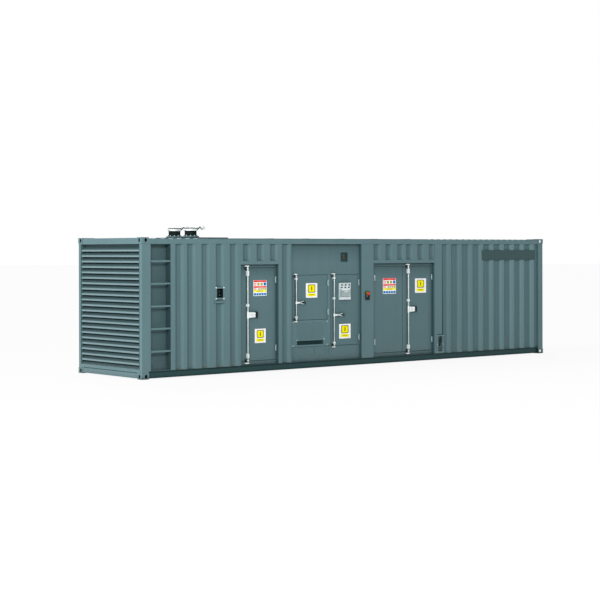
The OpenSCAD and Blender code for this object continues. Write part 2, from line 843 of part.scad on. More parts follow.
// The outline of a slim lever that ends in a fork
module forked_lever(length) {
    root = small_lever_root / 2;
    tip = small_lever_tip / 2;
    neck = length - fork_len;
    polygon([[0, -root], [neck, -root], [length, -tip], [length, prong_t - tip], [neck + root, 0],
             [length, tip - prong_t], [length, tip], [neck, root], [0, root]]);
}

module back_doors() {
    color(steel) mirror([0, 1, 0]) {
        slab(door_1_leaf_x0, door_1_leaf_x1, reveal, reveal + leaf_t, leaf_z0, leaf_z1);
        slab(left_leaf_x0, left_leaf_x1, reveal, reveal + leaf_t, leaf_z0, leaf_z1);
        slab(right_leaf_x0, right_leaf_x1, reveal, reveal + leaf_t, leaf_z0, leaf_z1);
    }
}

// The frame's parts of the hinges of the three tall leaves
module door_frame_hinges()
    for (z = door_hinges) {
        frame_hinge(door_1_axis, reveal, z, 1, frame_jamb - leaf_gap);
        frame_hinge(left_axis, reveal, z, -1, frame_jamb - leaf_gap);
        frame_hinge(right_axis, reveal, z, 1, frame_jamb - leaf_gap);
    }

// The keepers of the two tall lock bars
module door_keeper_plates()
    for (x = [door_bar_x, double_bar_x])
        keepers(x, reveal, bar_r, door_keepers, keeper_t, keeper_reach);

// A tall lock bar with its lever
module door_lock_bar(x)
    lock_bar(x, reveal, bar_r, door_keepers, keeper_t, door_lever_z) wide_lever();

// The fittings of the three tall leaves on the back, which stay closed
module back_door_fittings()
    color(zinc) mirror([0, 1, 0]) {
        door_frame_hinges();
        door_keeper_plates();
        for (z = door_hinges) {
            leaf_hinge(door_1_axis, reveal, z, 1);
            leaf_hinge(left_axis, reveal, z, -1);
            leaf_hinge(right_axis, reveal, z, 1);
        }
        for (x = [door_bar_x, double_bar_x]) {
            door_lock_bar(x);
            for (g = door_guides) guide(x, reveal, bar_r, g[0], g[1]);
        }
    }

module fixed_hinges()
    color(zinc) {
        door_frame_hinges();
        for (z = hatch_hinges) frame_hinge(hatch_axis, bay_d, z, 1, bay_hinge_plate);
        for (z = breaker_hinges) frame_hinge(breaker_axis, bay_d, z, 1, bay_hinge_plate);
    }

module lock_keepers()
    color(zinc) {
        door_keeper_plates();
        keepers(hatch_bar_x, bay_d, small_bar_r, hatch_keepers, small_keeper_t,
                hatch_keeper_reach);
        keepers(breaker_bar_x, bay_d, small_bar_r, breaker_keepers, small_keeper_t,
                breaker_keeper_reach);
    }

module door_1_leaf()
    color(steel) slab(door_1_leaf_x0, door_1_leaf_x1, reveal, reveal + leaf_t, leaf_z0, leaf_z1);

module door_1_fittings() {
    color(zinc) {
        for (z = door_hinges) leaf_hinge(door_1_axis, reveal, z, 1);
        for (g = door_guides) guide(door_bar_x, reveal, bar_r, g[0], g[1]);
    }
    color(black) catch(door_bar_x + lever_len + keeper_gap, reveal, door_lever_z, catch_dia);
}

module door_1_lock_bar() color(zinc) door_lock_bar(door_bar_x);

module hatch_leaf()
    color(steel) slab(hatch_x0, hatch_x1, bay_d, bay_d + bay_leaf_t, hatch_z, bay_door_top);

module hatch_fittings() {
    color(zinc) {
        for (z = hatch_hinges) leaf_hinge(hatch_axis, bay_d, z, 1);
        for (g = hatch_guides) guide(hatch_bar_x, bay_d, small_bar_r, g[0], g[1]);
    }
    color(black)
        catch(hatch_bar_x + hatch_lever_len + keeper_gap, bay_d, hatch_lever_z, small_catch_dia);
}

module hatch_lock_bar()
    color(zinc)
        lock_bar(hatch_bar_x, bay_d, small_bar_r, hatch_keepers, small_keeper_t, hatch_lever_z)
            forked_lever(hatch_lever_len);

module breaker_door_leaf()
    color(steel) slab(breaker_x0, breaker_x1, bay_d, bay_d + bay_leaf_t, breaker_z, bay_door_top);

module breaker_door_fittings() {
    color(zinc) {
        for (z = breaker_hinges) leaf_hinge(breaker_axis, bay_d, z, 1);
        for (g = breaker_guides) guide(breaker_bar_x, bay_d, small_bar_r, g[0], g[1]);
    }
    color(black)
        catch(breaker_bar_x + breaker_lever_len + keeper_gap, bay_d, breaker_lever_z,
              small_catch_dia);
}

module breaker_door_lock_bar()
    color(zinc)
        lock_bar(breaker_bar_x, bay_d, small_bar_r, breaker_keepers, small_keeper_t,
                 breaker_lever_z)
            forked_lever(breaker_lever_len);

module breaker_unit() {
    front_x = unit_x + (unit_w - unit_front_w) / 2;
    color(grey) {
        slab(unit_x, unit_x + unit_w, bay_d - unit_d, bay_d, unit_z, unit_z + unit_h);
        slab(front_x, front_x + unit_front_w, bay_d - unit_d - unit_front_d, bay_d - unit_d + eps,
             unit_front_z, unit_front_z + unit_front_h);
    }
}

module left_leaf()
    color(steel) slab(left_leaf_x0, left_leaf_x1, reveal, reveal + leaf_t, leaf_z0, leaf_z1);

module left_leaf_hinges()
    color(zinc) for (z = door_hinges) leaf_hinge(left_axis, reveal, z, -1);

module right_leaf()
    color(steel) slab(right_leaf_x0, right_leaf_x1, reveal, reveal + leaf_t, leaf_z0, leaf_z1);

module right_leaf_fittings() {
    color(zinc) {
        for (z = door_hinges) leaf_hinge(right_axis, reveal, z, 1);
        for (g = door_guides) guide(double_bar_x, reveal, bar_r, g[0], g[1]);
    }
    color(black) catch(double_bar_x + lever_len + keeper_gap, reveal, door_lever_z, catch_dia);
}

module right_leaf_lock_bar() color(zinc) door_lock_bar(double_bar_x);

// ---- small equipment -------------------------------------------------------

// A round part that stands out of the front, its back at the given depth
module boss(x, d, z, r, length) on_front(x, d, z) rotate([90, 0, 0]) cylinder(r = r, h = length);

module socket_box() {
    x1 = socket_x + socket_w;
    z1 = socket_z + socket_h;
    color(steel) difference() {
        slab(socket_x, x1, 0, socket_depth, socket_z, z1);
        slab(socket_x + socket_rim, x1 - socket_rim, -eps, socket_depth - box_back,
             socket_z + socket_rim, z1 - socket_rim);
    }
}

module cable_panel() {
    x0 = hatch_x0 - leaf_gap;
    x1 = hatch_x1 + leaf_gap;
    slot_x = (x0 + x1 - cable_w) / 2;
    color(steel) difference() {
        slab(x0, x1, bay_d, wall_t, bay_cut_bot, cable_top);
        slab(slot_x, slot_x + cable_w, bay_d - eps, wall_t + eps, cable_z, cable_z + cable_h);
    }
}

module lamp_housing() {
    x1 = lamp_x + lamp_w;
    z1 = lamp_z + lamp_w;
    back = bay_d + lamp_depth;
    color(black) difference() {
        slab(lamp_x, x1, bay_d, back, lamp_z, z1);
        slab(lamp_x + lamp_rim, x1 - lamp_rim, bay_d - eps, back - lamp_rim, lamp_z + lamp_rim,
             z1 - lamp_rim);
    }
    color(amber)
        boss(lamp_x + lamp_w / 2, back - lamp_rim, lamp_z + lamp_w / 2, lamp_r, lamp_len);
}

module stop_box()
    color(black) difference() {
        slab(stop_x, stop_x + stop_w, -stop_d, 0, stop_z, stop_z + stop_h);
        boss(stop_x + stop_w / 2, -stem_end, stop_button_z, stem_r + pin_gap, stop_d);
    }

module stop_button()
    color(red) {
        boss(stop_x + stop_w / 2, -stop_d - stop_travel - stop_head_gap, stop_button_z, stop_r,
             stop_head);
        boss(stop_x + stop_w / 2, stem_in - stop_d, stop_button_z, stem_r,
             stem_in + stop_travel + stop_head_gap + eps);
    }

module fuel_panel() {
    x1 = fuel_x + fuel_w;
    z1 = fuel_z + fuel_h;
    color(steel) difference() {
        slab(fuel_x, x1, 0, fuel_depth, fuel_z, z1);
        slab(fuel_x + fuel_rim, x1 - fuel_rim, -eps, fuel_depth - box_back,
             fuel_z + fuel_rim_h, z1 - fuel_rim_h);
    }
    color(black) boss(fuel_x + fuel_w / 2, fuel_depth - box_back, z1 - port_drop, port_r, port_len);
}

// ---- exhausts --------------------------------------------------------------

// Moves a shape to a height over the exhausts' cross line
module on_roof(x, y, z) translate([x - half_len, y, z]) children();

// A round bar across the enclosure, centred
module cross_bar(r, width) rotate([90, 0, 0]) cylinder(r = r, h = width, center = true);

module exhaust_cover()
    color(steel) on_roof(exhaust_x - cover_back, -cover_wid / 2, roof_flat_top)
        cube([cover_len, cover_wid, cover_h]);

// One ear of a rain cap's hinge: a plate from the clamp ring up to the pin
module cap_ear() {
    foot_x = -cap_hinge_gap;
    foot_z = pipe_top - ring_h - cap_axis_z;
    rotate([90, 0, 0]) linear_extrude(ear_t, center = true) {
        circle(r = ear_r);
        polygon([[foot_x, foot_z], [foot_x + ring_out, foot_z], [ear_r, 0], [0, ear_r],
                 [foot_x + ring_out, foot_z + ring_h - ring_out], [foot_x, foot_z + ring_h - ring_out]]);
    }
}

module exhaust_outlet(y) {
    on_roof(exhaust_x, y, cover_top) difference() {
        union() {
            cylinder(r = pipe_r, h = pipe_h);
            cylinder(r = pipe_flange_r, h = pipe_flange_t);
            translate([0, 0, pipe_h - ring_h]) cylinder(r = lid_r, h = ring_h);
        }
        translate([0, 0, pipe_flange_t]) cylinder(r = pipe_r - pipe_t, h = pipe_h);
    }
    for (side = [-1, 1]) on_roof(cap_axis_x, y + side * ear_y, cap_axis_z) cap_ear();
    on_roof(cap_axis_x, y, cap_axis_z) cross_bar(pin_r, 2 * ear_y + ear_t);
}

module exhaust_outlets() color(black) for (side = [-1, 1]) exhaust_outlet(side * exhaust_pitch / 2);

// A hinged rain cap: a lid over the pipe, with a strap that runs from its centre
// over the pin to a counterweight
module rain_cap(y) {
    centre_x = exhaust_x - cap_axis_x;
    edge_x = centre_x + lid_r;
    color(zinc) {
        on_roof(exhaust_x, y, pipe_top + lid_gap) cylinder(r = lid_r, h = lid_t);
        on_roof(cap_axis_x, y, cap_axis_z) difference() {
            union() {
                cross_bar(cap_boss_r, strap_w);
                translate([cap_arm, 0, -strap_t]) cross_bar(cap_weight_r, cap_weight_w);
                rotate([90, 0, 0]) linear_extrude(strap_w, center = true)
                    polygon([[centre_x - strap_w, -cap_hinge_rise - eps],
                             [edge_x, -cap_hinge_rise - eps], [0, -strap_t], [cap_arm, -strap_t],
                             [cap_arm, 0], [0, strap_t], [edge_x - strap_t, strap_t - cap_hinge_rise],
                             [centre_x - strap_w, strap_t - cap_hinge_rise]]);
            }
            cross_bar(pin_r + pin_gap, 2 * strap_w);
        }
    }
}

module rain_cap_front() rain_cap(-exhaust_pitch / 2);
module rain_cap_back() rain_cap(exhaust_pitch / 2);

corner_castings();
corner_posts();
top_side_rails();
bottom_side_rails();
end_rails();
cross_members();
floor();
roof();
louvre_blades();
ladder_recess();
ladder_rungs();
front_wall();
wall_headers();
front_piers();
bay_wall();
bay_wall_posts();
door_frames();
back_wall();
back_doors();
back_door_fittings();
fixed_hinges();
lock_keepers();
socket_box();
cable_panel();
lamp_housing();
stop_box();
fuel_panel();
exhaust_cover();
exhaust_outlets();
stop_button();
door_1_leaf();
door_1_fittings();
door_1_lock_bar();
hatch_leaf();
hatch_fittings();
hatch_lock_bar();
breaker_door_leaf();
breaker_door_fittings();
breaker_door_lock_bar();
breaker_unit();
left_leaf();
left_leaf_hinges();
right_leaf();
right_leaf_fittings();
right_leaf_lock_bar();
rain_cap_front();
rain_cap_back();
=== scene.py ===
"""The finish and the small parts of a containerised diesel generator set.

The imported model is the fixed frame. Each CAD piece keeps its shape and gets a finish, and the
small parts that the solids leave out, such as bolts, screws, signs and seals, are built here
and ride on the body that carries them. All sizes are in metres, in the frame of the model:
+X along the enclosure, -Y towards the service side, +Z up.
"""
import math
import random

import bmesh
import bpy
from mathutils import Matrix, Vector


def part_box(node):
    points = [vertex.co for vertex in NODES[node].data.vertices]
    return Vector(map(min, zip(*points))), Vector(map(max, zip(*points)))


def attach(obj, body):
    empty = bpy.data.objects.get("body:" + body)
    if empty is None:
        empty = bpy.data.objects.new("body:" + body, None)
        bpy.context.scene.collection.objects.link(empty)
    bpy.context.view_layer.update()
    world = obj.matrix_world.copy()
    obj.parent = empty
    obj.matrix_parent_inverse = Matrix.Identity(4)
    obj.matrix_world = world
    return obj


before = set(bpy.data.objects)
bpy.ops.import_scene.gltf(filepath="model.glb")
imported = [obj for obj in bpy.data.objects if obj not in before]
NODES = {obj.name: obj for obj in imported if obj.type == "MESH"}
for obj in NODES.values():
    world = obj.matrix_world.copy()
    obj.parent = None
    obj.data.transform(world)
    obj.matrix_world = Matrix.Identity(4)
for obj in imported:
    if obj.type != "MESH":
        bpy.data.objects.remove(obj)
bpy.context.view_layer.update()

RIGHT = Vector((1, 0, 0))
FRONT = Vector((0, -1, 0))
BACK = Vector((0, 1, 0))
UP = Vector((0, 0, 1))
MM = 0.001

# ---- places read from the frame ----


def low(node):
    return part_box(node)[0]


def high(node):
    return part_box(node)[1]


def solids(node):
    """The (lowest, highest) corners of each separate solid of a CAD node, from left to right."""
    bm = bmesh.new()
    bm.from_mesh(NODES[node].data)
    bmesh.ops.remove_doubles(bm, verts=bm.verts, dist=1e-5)
    boxes, seen = [], set()
    for start in bm.verts:
        if start in seen:
            continue
        island = [start]
        for vert in island:
            seen.add(vert)
            near = (edge.other_vert(vert) for edge in vert.link_edges)
            fresh = [other for other in near if other not in seen]
            seen.update(fresh)
            island += fresh
        places = [vert.co for vert in island]
        boxes.append(tuple(Vector([pick(co[i] for co in places) for i in range(3)]) for pick in (min, max)))
    bm.free()
    return sorted(boxes, key=lambda box: (round(box[0].x, 3), box[0].z))


def size(box):
    return box[1] - box[0]


def middle(box):
    return (box[0] + box[1]) / 2


END_X = low("corner_castings").x
WALL_Y = low("front_wall").y
INNER_Y = high("front_wall").y
BAY_Y = low("bay_wall").y
LEAF_Y = low("door_1_leaf").y
WALL_BOTTOM = low("front_wall").z
WALL_TOP = high("front_wall").z
RAIL_TOP = high("top_side_rails").z
COVER_TOP = high("exhaust_cover").z

# ---- mesh helpers ----


def faces_of(bm, rows, mat):
    """Adds faces given as lists of vertices, all with one material."""
    for row in rows:
        bm.faces.new(row).material_index = mat


def block(bm, a, b, mat=0):
    """A block between two corners."""
    v = [bm.verts.new((x, y, z)) for x in (a[0], b[0]) for y in (a[1], b[1]) for z in (a[2], b[2])]
    quads = ((0, 1, 3, 2), (4, 6, 7, 5), (0, 4, 5, 1), (2, 3, 7, 6), (0, 2, 6, 4), (1, 5, 7, 3))
    faces_of(bm, [[v[i] for i in quad] for quad in quads], mat)


def circle(bm, centre, direction, radius, sides):
    """A ring of vertices square to the direction."""
    w = direction.normalized()
    u = w.cross(UP) if abs(w.z) < 0.9 else w.cross(RIGHT)
    u.normalize()
    v = w.cross(u)
    turns = [2 * math.pi * i / sides for i in range(sides)]
    return [bm.verts.new(centre + (u * math.cos(t) + v * math.sin(t)) * radius) for t in turns]


def lathe(bm, origin, direction, profile, sides=20, mat=0, unit=1):
    """A turned form: profile lists (radius, height) from the origin along the direction, in units.

    A profile that ends at the radius where it starts makes an open ring.
    """
    rings = []
    for radius, height in profile:
        centre = Vector(origin) + direction * height * unit
        tip = radius <= 0
        rings.append([bm.verts.new(centre)] if tip else circle(bm, centre, direction, radius * unit, sides))
    loop = len(rings[0]) > 1 and profile[0][0] == profile[-1][0]
    rows = [] if loop else [ring for ring in (rings[0], rings[-1]) if len(ring) > 1]
    for a, b in zip(rings, rings[1:] + rings[:1] * loop):
        for i in range(sides):
            j = (i + 1) % sides
            row = (a[i % len(a)], a[j % len(a)], b[j % len(b)], b[i % len(b)])
            rows.append(list(dict.fromkeys(row)))
    faces_of(bm, rows, mat)


def sleeve(bm, base, inner, wall, tall, ease=0.0, sides=24, mat=0):
    """An upright open ring between two radii, eased at its outer edges."""
    profile = [(inner, 0), (wall, ease), (wall, tall - ease), (inner, tall)]
    lathe(bm, base, UP, profile, sides, mat)


def prism(bm, outline, origin, u, v, depth, mat=0):
    """An outline of (along u, along v) points, extruded by depth along u x v."""
    w = u.cross(v).normalized() * depth
    base = [bm.verts.new(Vector(origin) + u * a + v * b) for a, b in outline]
    top = [bm.verts.new(vert.co + w) for vert in base]
    n = len(base)
    rows = [base, top] + [[base[i], base[(i + 1) % n], top[(i + 1) % n], top[i]] for i in range(n)]
    faces_of(bm, rows, mat)


def rounded(width, height, radius, steps=4):
    """The outline of a rounded rectangle, centred."""
    points = []
    for quarter, (sx, sy) in enumerate(((1, 1), (-1, 1), (-1, -1), (1, -1))):
        cx, cy = sx * (width / 2 - radius), sy * (height / 2 - radius)
        for i in range(steps + 1):
            t = math.pi / 2 * (quarter + i / steps)
            points.append((cx + radius * math.cos(t), cy + radius * math.sin(t)))
    return points


def plate(bm, centre, width, height, thick, radius=0.004, mat=0, facing=FRONT):
    """A rounded plate that lies on a wall, its back at the centre point."""
    prism(bm, rounded(width, height, radius), centre, UP.cross(facing).normalized(), UP, thick, mat)


def corners(x, z, rows=(-1, 1)):
    """The offsets from the middle of an upright rectangle to its corners."""
    return [Vector((sx * x, 0, sz * z)) for sx in (-1, 1) for sz in rows]


def tube(bm, points, radius, sides=8, ripple=0.0, seed=1, mat=0):
    """A round bar along a path; ripple varies its radius as a weld bead's."""
    draw = random.Random(seed)
    rings = []
    for i, point in enumerate(points):
        ahead = points[min(i + 1, len(points) - 1)] - points[max(i - 1, 0)]
        rings.append(circle(bm, point, ahead, radius * (1 + ripple * draw.uniform(-1, 1)), sides))
    rows = [rings[0], rings[-1]]
    for a, b in zip(rings, rings[1:]):
        rows += [[a[k], a[(k + 1) % sides], b[(k + 1) % sides], b[k]] for k in range(sides)]
    faces_of(bm, rows, mat)


def bead(bm, a, b, radius=0.004, step=0.012, seed=1, mat=0):
    """A weld bead along a straight joint."""
    a, b = Vector(a), Vector(b)
    count = max(2, int((b - a).length / step))
    tube(bm, [a.lerp(b, i / count) for i in range(count + 1)], radius, 6, 0.22, seed, mat)


def hex_bolt(bm, at, direction, r=0.0075, mat=0):
    """A washer with a chamfered hexagon head."""
    lathe(bm, at, direction, [(1.7, 0), (1.7, 0.25), (0, 0.25)], 16, mat, r)
    lathe(bm, at, direction, [(1, 0.2), (1, 1.1), (0.82, 1.3), (0, 1.3)], 6, mat, r)


def screw(bm, at, direction, r=0.005, mat=0):
    """A low domed screw head."""
    lathe(bm, at, direction, [(1, 0), (0.96, 0.3), (0.7, 0.55), (0, 0.66)], 12, mat, r)


def stud(bm, at, r, length):
    """An upright threaded stud with its nut and washer."""
    lathe(bm, at, UP, [(2.1, 0), (2.1, 0.4), (0, 0.4)], 16, unit=r)
    lathe(bm, at, UP, [(1.75, 0.3), (1.75, 1.7), (1.5, 2), (0, 2)], 6, unit=r)
    lathe(bm, at, UP, [(r, r), (r, length - r * 0.3), (r * 0.75, length), (0, length)], 10)


def add(name, data):
    """Puts a mesh, lamp or camera in the scene."""
    obj = bpy.data.objects.new(name, data)
    bpy.context.scene.collection.objects.link(obj)
    return obj


def mesh_of(name, bm, materials):
    mesh = bpy.data.meshes.new(name)
    bm.to_mesh(mesh)
    bm.free()
    for material in materials:
        mesh.materials.append(material)
    return mesh


def round_edges(obj, width, sharp):
    edges = obj.modifiers.new("rounded_edges", "BEVEL")
    edges.width = width
    edges.segments = 2
    edges.limit_method = "ANGLE"
    edges.angle_limit = math.radians(sharp)
    edges.use_clamp_overlap = True


def piece(name, bm, materials, body="enclosure", bevel=0.0, sharp=35):
    """Makes the mesh an object with the given materials, riding on a body."""
    bmesh.ops.recalc_face_normals(bm, faces=bm.faces)
    mesh = mesh_of(name, bm, materials)
    mesh.shade_smooth()
    mesh.set_sharp_from_angle(angle=math.radians(sharp))
    obj = add(name, mesh)
    if bevel:
        round_edges(obj, bevel, sharp)
    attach(obj, body)


# ---- materials ----


def srgb(r, g, b):
    """A colour given as 0 to 255 display values, in linear light."""
    def linear(c):
        c /= 255
        return c / 12.92 if c <= 0.04045 else ((c + 0.055) / 1.055) ** 2.4
    return (linear(r), linear(g), linear(b), 1.0)


def scaled(colour, factor):
    return tuple(c * factor for c in colour[:3]) + (1.0,)


class Nodes:
    """A node tree, with short names for what it is made of."""

    def __init__(self, tree):
        self.tree = tree

    def node(self, kind, feeds=None, **settings):
        """Adds a node; feeds gives values or links for its inputs, by name or number."""
        made = self.tree.nodes.new(kind)
        for key, value in settings.items():
            setattr(made, key, value)
        for socket, value in (feeds or {}).items():
            self.feed(made.inputs[socket], value)
        return made

    def feed(self, socket, value):
        if isinstance(value, bpy.types.NodeSocket):
            self.tree.links.new(value, socket)
        else:
            socket.default_value = value

    def ramp(self, value, start, end, first=0.0, last=1.0):
        """Maps start..end to first..last, and stays level beyond."""
        return self.node("ShaderNodeMapRange", dict(enumerate((value, start, end, first, last)))).outputs[0]

    def math(self, operation, a, b=0.0):
        return self.node("ShaderNodeMath", {0: a, 1: b}, operation=operation).outputs[0]

    def times(self, product, *factors):
        for factor in factors:
            product = self.math("MULTIPLY", product, factor)
        return product


class Finish(Nodes):
    """A material under construction."""

    def __init__(self, name, roughness=0.5, metallic=0.0, specular=0.5):
        self.material = bpy.data.materials.new(name)
        self.material.use_nodes = True
        super().__init__(self.material.node_tree)
        self.shader = self.tree.nodes["Principled BSDF"]
        plain = {"Roughness": roughness, "Metallic": metallic, "Specular IOR Level": specular}
        for socket, value in plain.items():
            self.feed(self.shader.inputs[socket], value)
        self.place = self.node("ShaderNodeTexCoord").outputs["Object"]

    def noise(self, scale, detail=2.0, stretch=None):
        place = self.place
        if stretch:
            place = self.node("ShaderNodeMapping", {"Vector": place, "Scale": stretch}).outputs[0]
        feeds = {"Vector": place, "Scale": scale, "Detail": detail}
        return self.node("ShaderNodeTexNoise", feeds).outputs[0]

    def axis(self, name, source=None):
        """The X, Y or Z coordinate of the place, or of another vector."""
        return self.node("ShaderNodeSeparateXYZ", {0: source or self.place}).outputs[name]

    def across(self, name):
        """The distance along an axis from the middle of the frame."""
        return self.math("ABSOLUTE", self.axis(name))

    def mix(self, factor, a, b):
        return self.node("ShaderNodeMix", {0: factor, 6: a, 7: b}, data_type="RGBA").outputs[2]

    def shade(self, colour, factor):
        """The colour times a factor."""
        colour = colour if isinstance(colour, bpy.types.NodeSocket) else colour[:3]
        return self.node("ShaderNodeVectorMath", {0: colour, "Scale": factor}, operation="SCALE").outputs[0]

    def recess(self, reach, darkest):
        """Painted shade: falls from 1 on open faces to the darkest value in deep corners."""
        open_sky = self.node("ShaderNodeAmbientOcclusion", {"Distance": reach}, samples=4).outputs["AO"]
        return self.ramp(open_sky, 0.35, 0.95, darkest, 1.0)

    def sunken(self, name, plane, steps):
        """Painted shade by the depth behind a plane on both sides: steps lists (depth, tone)."""
        depth = self.math("SUBTRACT", plane, self.across(name))
        tone = steps[0][1]
        for (near, _), (far, level) in zip(steps, steps[1:]):
            tone = self.ramp(depth, near, far, tone, level)
        return tone

    def facing(self, name, start, end, first, last):
        """Painted shade by the surface direction along an axis."""
        normal = self.node("ShaderNodeNewGeometry").outputs["Normal"]
        return self.ramp(self.axis(name, normal), start, end, first, last)

    def dots(self, pitch, radius, across="X", along="Z"):
        """1 inside round dots on a square grid, 0 between them."""
        far = []
        for name in (across, along):
            cell = self.math("FRACT", self.math("DIVIDE", self.axis(name), pitch))
            far.append(self.math("POWER", self.math("ABSOLUTE", self.math("SUBTRACT", cell, 0.5)), 2.0))
        reach = self.math("SQRT", self.math("ADD", *far))
        return self.ramp(reach, radius / pitch * 0.9, radius / pitch * 1.1, 1.0, 0.0)

    def finish(self, colour, roughness=None, bumps=()):
        """Feeds the shader. Bumps lists (height, distance) pairs."""
        shown = {"Base Color": colour}
        if roughness is not None:
            shown["Roughness"] = roughness
        for height, distance in bumps:
            feeds = {"Height": height, "Distance": distance}
            if "Normal" in shown:
                feeds["Normal"] = shown["Normal"]
            shown["Normal"] = self.node("ShaderNodeBump", feeds).outputs[0]
        for socket, value in shown.items():
            self.feed(self.shader.inputs[socket], value)
        return self.material


GREY_GREEN = srgb(99, 128, 133)
RUST = srgb(150, 122, 82)
DUST = srgb(140, 138, 128)
# DEEP is the dark teal that the paint's clouding and its painted shade mix towards.
DEEP = (0.0, 0.018, 0.020, 1.0)
LINING = srgb(176, 182, 182)
LINING_HOLE = scaled(LINING, 0.12)
HOLES = (0.022, 0.0045)


def weathered_with_painted_shade(f, colour, reach=0.16, darkest=0.5, sunk=None, dusty=0.22, under=None, side=0.84):
    """Paint that has clouded and run, with painted shade in its corners, in its sunken faces and on faces by
    the way they turn.

    Under lists (height, height, tone) where painted shadow darkens it towards an edge above, and side is the
    painted shade on the faces that look towards the left end.
    """
    # Clouds, runs and grain of the paint, with painted shade in the corners.
    tone = f.times(f.ramp(f.noise(0.7, 4.0), 0.3, 0.7, 0.94, 1.0),
                   f.ramp(f.noise(9.0, 3.0, (1, 1, 0.06)), 0.3, 0.8, 1.0, 0.94),
                   f.ramp(f.noise(150.0), 0.3, 0.7, 0.95, 1.0), f.recess(reach, darkest))
    if sunk:
        tone = f.times(tone, f.sunken(*sunk))
        if sunk[0] == "Y":
            # Painted shade on faces that turn to the right end, and by side on those that look to the left
            # end.
            tone = f.times(tone, f.facing("X", 0.15, 0.5, 1.0, 0.8), f.facing("X", -0.98, -0.92, side, 1.0))
        else:
            # Painted shade on the faces that turn up, under the blade above.
            tone = f.times(tone, f.facing("Z", 0.1, 0.35, 1.0, 0.62))
    if under:
        # Painted shadow under the edge above.
        tone = f.times(tone, f.ramp(f.axis("Z"), under[0], under[1], 1.0, under[2]))
    near_ground = f.ramp(f.axis("Z"), 0.02, 0.55, dusty, 0.0)
    patches = f.ramp(f.noise(14.0, 4.0), 0.4, 0.7)
    return f.mix(f.times(near_ground, patches), f.mix(tone, DEEP, colour), DUST)


def paint(name, colour, reach=0.16, darkest=0.5, rusty=False, lined=None, **wear):
    """Sprayed enamel on steel sheet; rusty adds spots at the wall's foot and painted light that brightens
    the outer faces towards the right end.

    Lined names the second axis of the holes in an inner lining: Z on a wall, Y on a roof.
    """
    f = Finish(name, roughness=0.42, specular=0.15)
    shown = weathered_with_painted_shade(f, colour, reach, darkest, **wear)
    rough = f.ramp(f.noise(22.0, 3.0), 0.3, 0.7, 0.38, 0.5)
    bumps = [(f.noise(2.2), 0.004), (f.noise(260.0), 0.00035)]
    if rusty:
        # Painted light: the outer faces of the wall brighten towards the right end.
        clean_and_painted_light = f.times(f.ramp(f.axis("X"), 2.6, 5.0, 0.0, 0.6),
                        f.ramp(f.axis("Y"), WALL_Y + 0.020, WALL_Y + 0.034, 1.0, 0.0))
        shown = f.mix(clean_and_painted_light, shown, scaled(colour, 1.26))
        amount = f.times(f.ramp(f.axis("Z"), WALL_BOTTOM + 0.010, WALL_BOTTOM + 0.022, 0.9, 0.0),
                         f.ramp(f.axis("Y"), WALL_Y + 0.02, WALL_Y + 0.03),
                         f.ramp(f.axis("Y"), INNER_Y - 0.05, INNER_Y - 0.04, 1.0, 0.0),
                         f.ramp(f.axis("X"), -1.6, -0.6, 1.0, 0.25),
                         f.ramp(f.noise(16.0, 3.0), 0.52, 0.62))
        shown = f.mix(amount, shown, RUST)
        rough = f.math("MAXIMUM", rough, f.times(amount, 0.9))
    if lined:
        depth, start = (f.across("Y"), abs(INNER_Y)) if lined == "Z" else (f.axis("Z"), WALL_TOP)
        inside = f.ramp(depth, start + 0.0004, start + 0.002, 1.0, 0.0)
        holes = f.dots(*HOLES, "X", lined)
        shown = f.mix(inside, shown, f.mix(holes, LINING, LINING_HOLE))
        bumps.append((f.times(holes, inside, -1.0), 0.001))
    return f.finish(shown, rough, bumps)


def cast_paint():
    """Thick paint on cast steel, with painted shade inside the castings."""
    f = Finish("cast_paint", roughness=0.5, specular=0.15)
    shown = weathered_with_painted_shade(f, scaled(GREY_GREEN, 1.04), 0.10, 0.03)
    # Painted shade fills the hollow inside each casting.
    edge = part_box("corner_castings")[1]
    across, deep, below = (f.ramp(way, limit - 0.016, limit - 0.010, 1.0, 0.0) for way, limit in
                           ((f.across("X"), edge.x), (f.across("Y"), edge.y), (f.axis("Z"), edge.z)))
    above = f.ramp(f.axis("Z"), 0.010, 0.016)
    hollow = f.times(f.times(across, deep), f.times(above, below))
    return f.finish(f.mix(hollow, shown, srgb(16, 30, 31)), None, [(f.noise(70.0, 4.0), 0.0016)])


def galvanised(name, level, metallic, darkest, tint=(1.0, 1.0, 1.0)):
    """Zinc plating with a faint spangle and tarnish, and painted shade in its corners."""
    def shade(r, g, b):
        return tuple(part * level * share for part, share in zip(srgb(r, g, b), tint)) + (1.0,)

    f = Finish(name, roughness=0.34, metallic=metallic)
    spangle = f.node("ShaderNodeTexVoronoi", {"Vector": f.place, "Scale": 90.0})
    cells = f.ramp(spangle.outputs["Distance"], 0.0, 0.8)
    tarnish = f.ramp(f.noise(18.0, 4.0), 0.35, 0.75)
    clean_and_painted_light = f.mix(cells, shade(222, 226, 226), shade(200, 206, 207))
    # Painted shade in the corners, over the tarnished zinc.
    tarnish_and_shade = f.shade(f.mix(tarnish, clean_and_painted_light, shade(178, 182, 180)), f.recess(0.03, darkest))
    return f.finish(tarnish_and_shade, f.ramp(tarnish, 0.0, 1.0, 0.28, 0.46), [(f.noise(300.0), 0.0002)])


def moulded(name, r, g, b, roughness=0.45, specular=0.5):
    """Moulded plastic, rubber or a plain printed film."""
    f = Finish(name, roughness, specular=specular)
    tone = f.ramp(f.noise(30.0, 3.0), 0.3, 0.7, 0.94, 1.04)
    scuffs = f.ramp(f.noise(85.0, 4.0), 0.35, 0.8, roughness - 0.06, roughness + 0.1)
    return f.finish(f.shade(srgb(r, g, b), tone), scuffs, [(f.noise(320.0), 0.00025)])


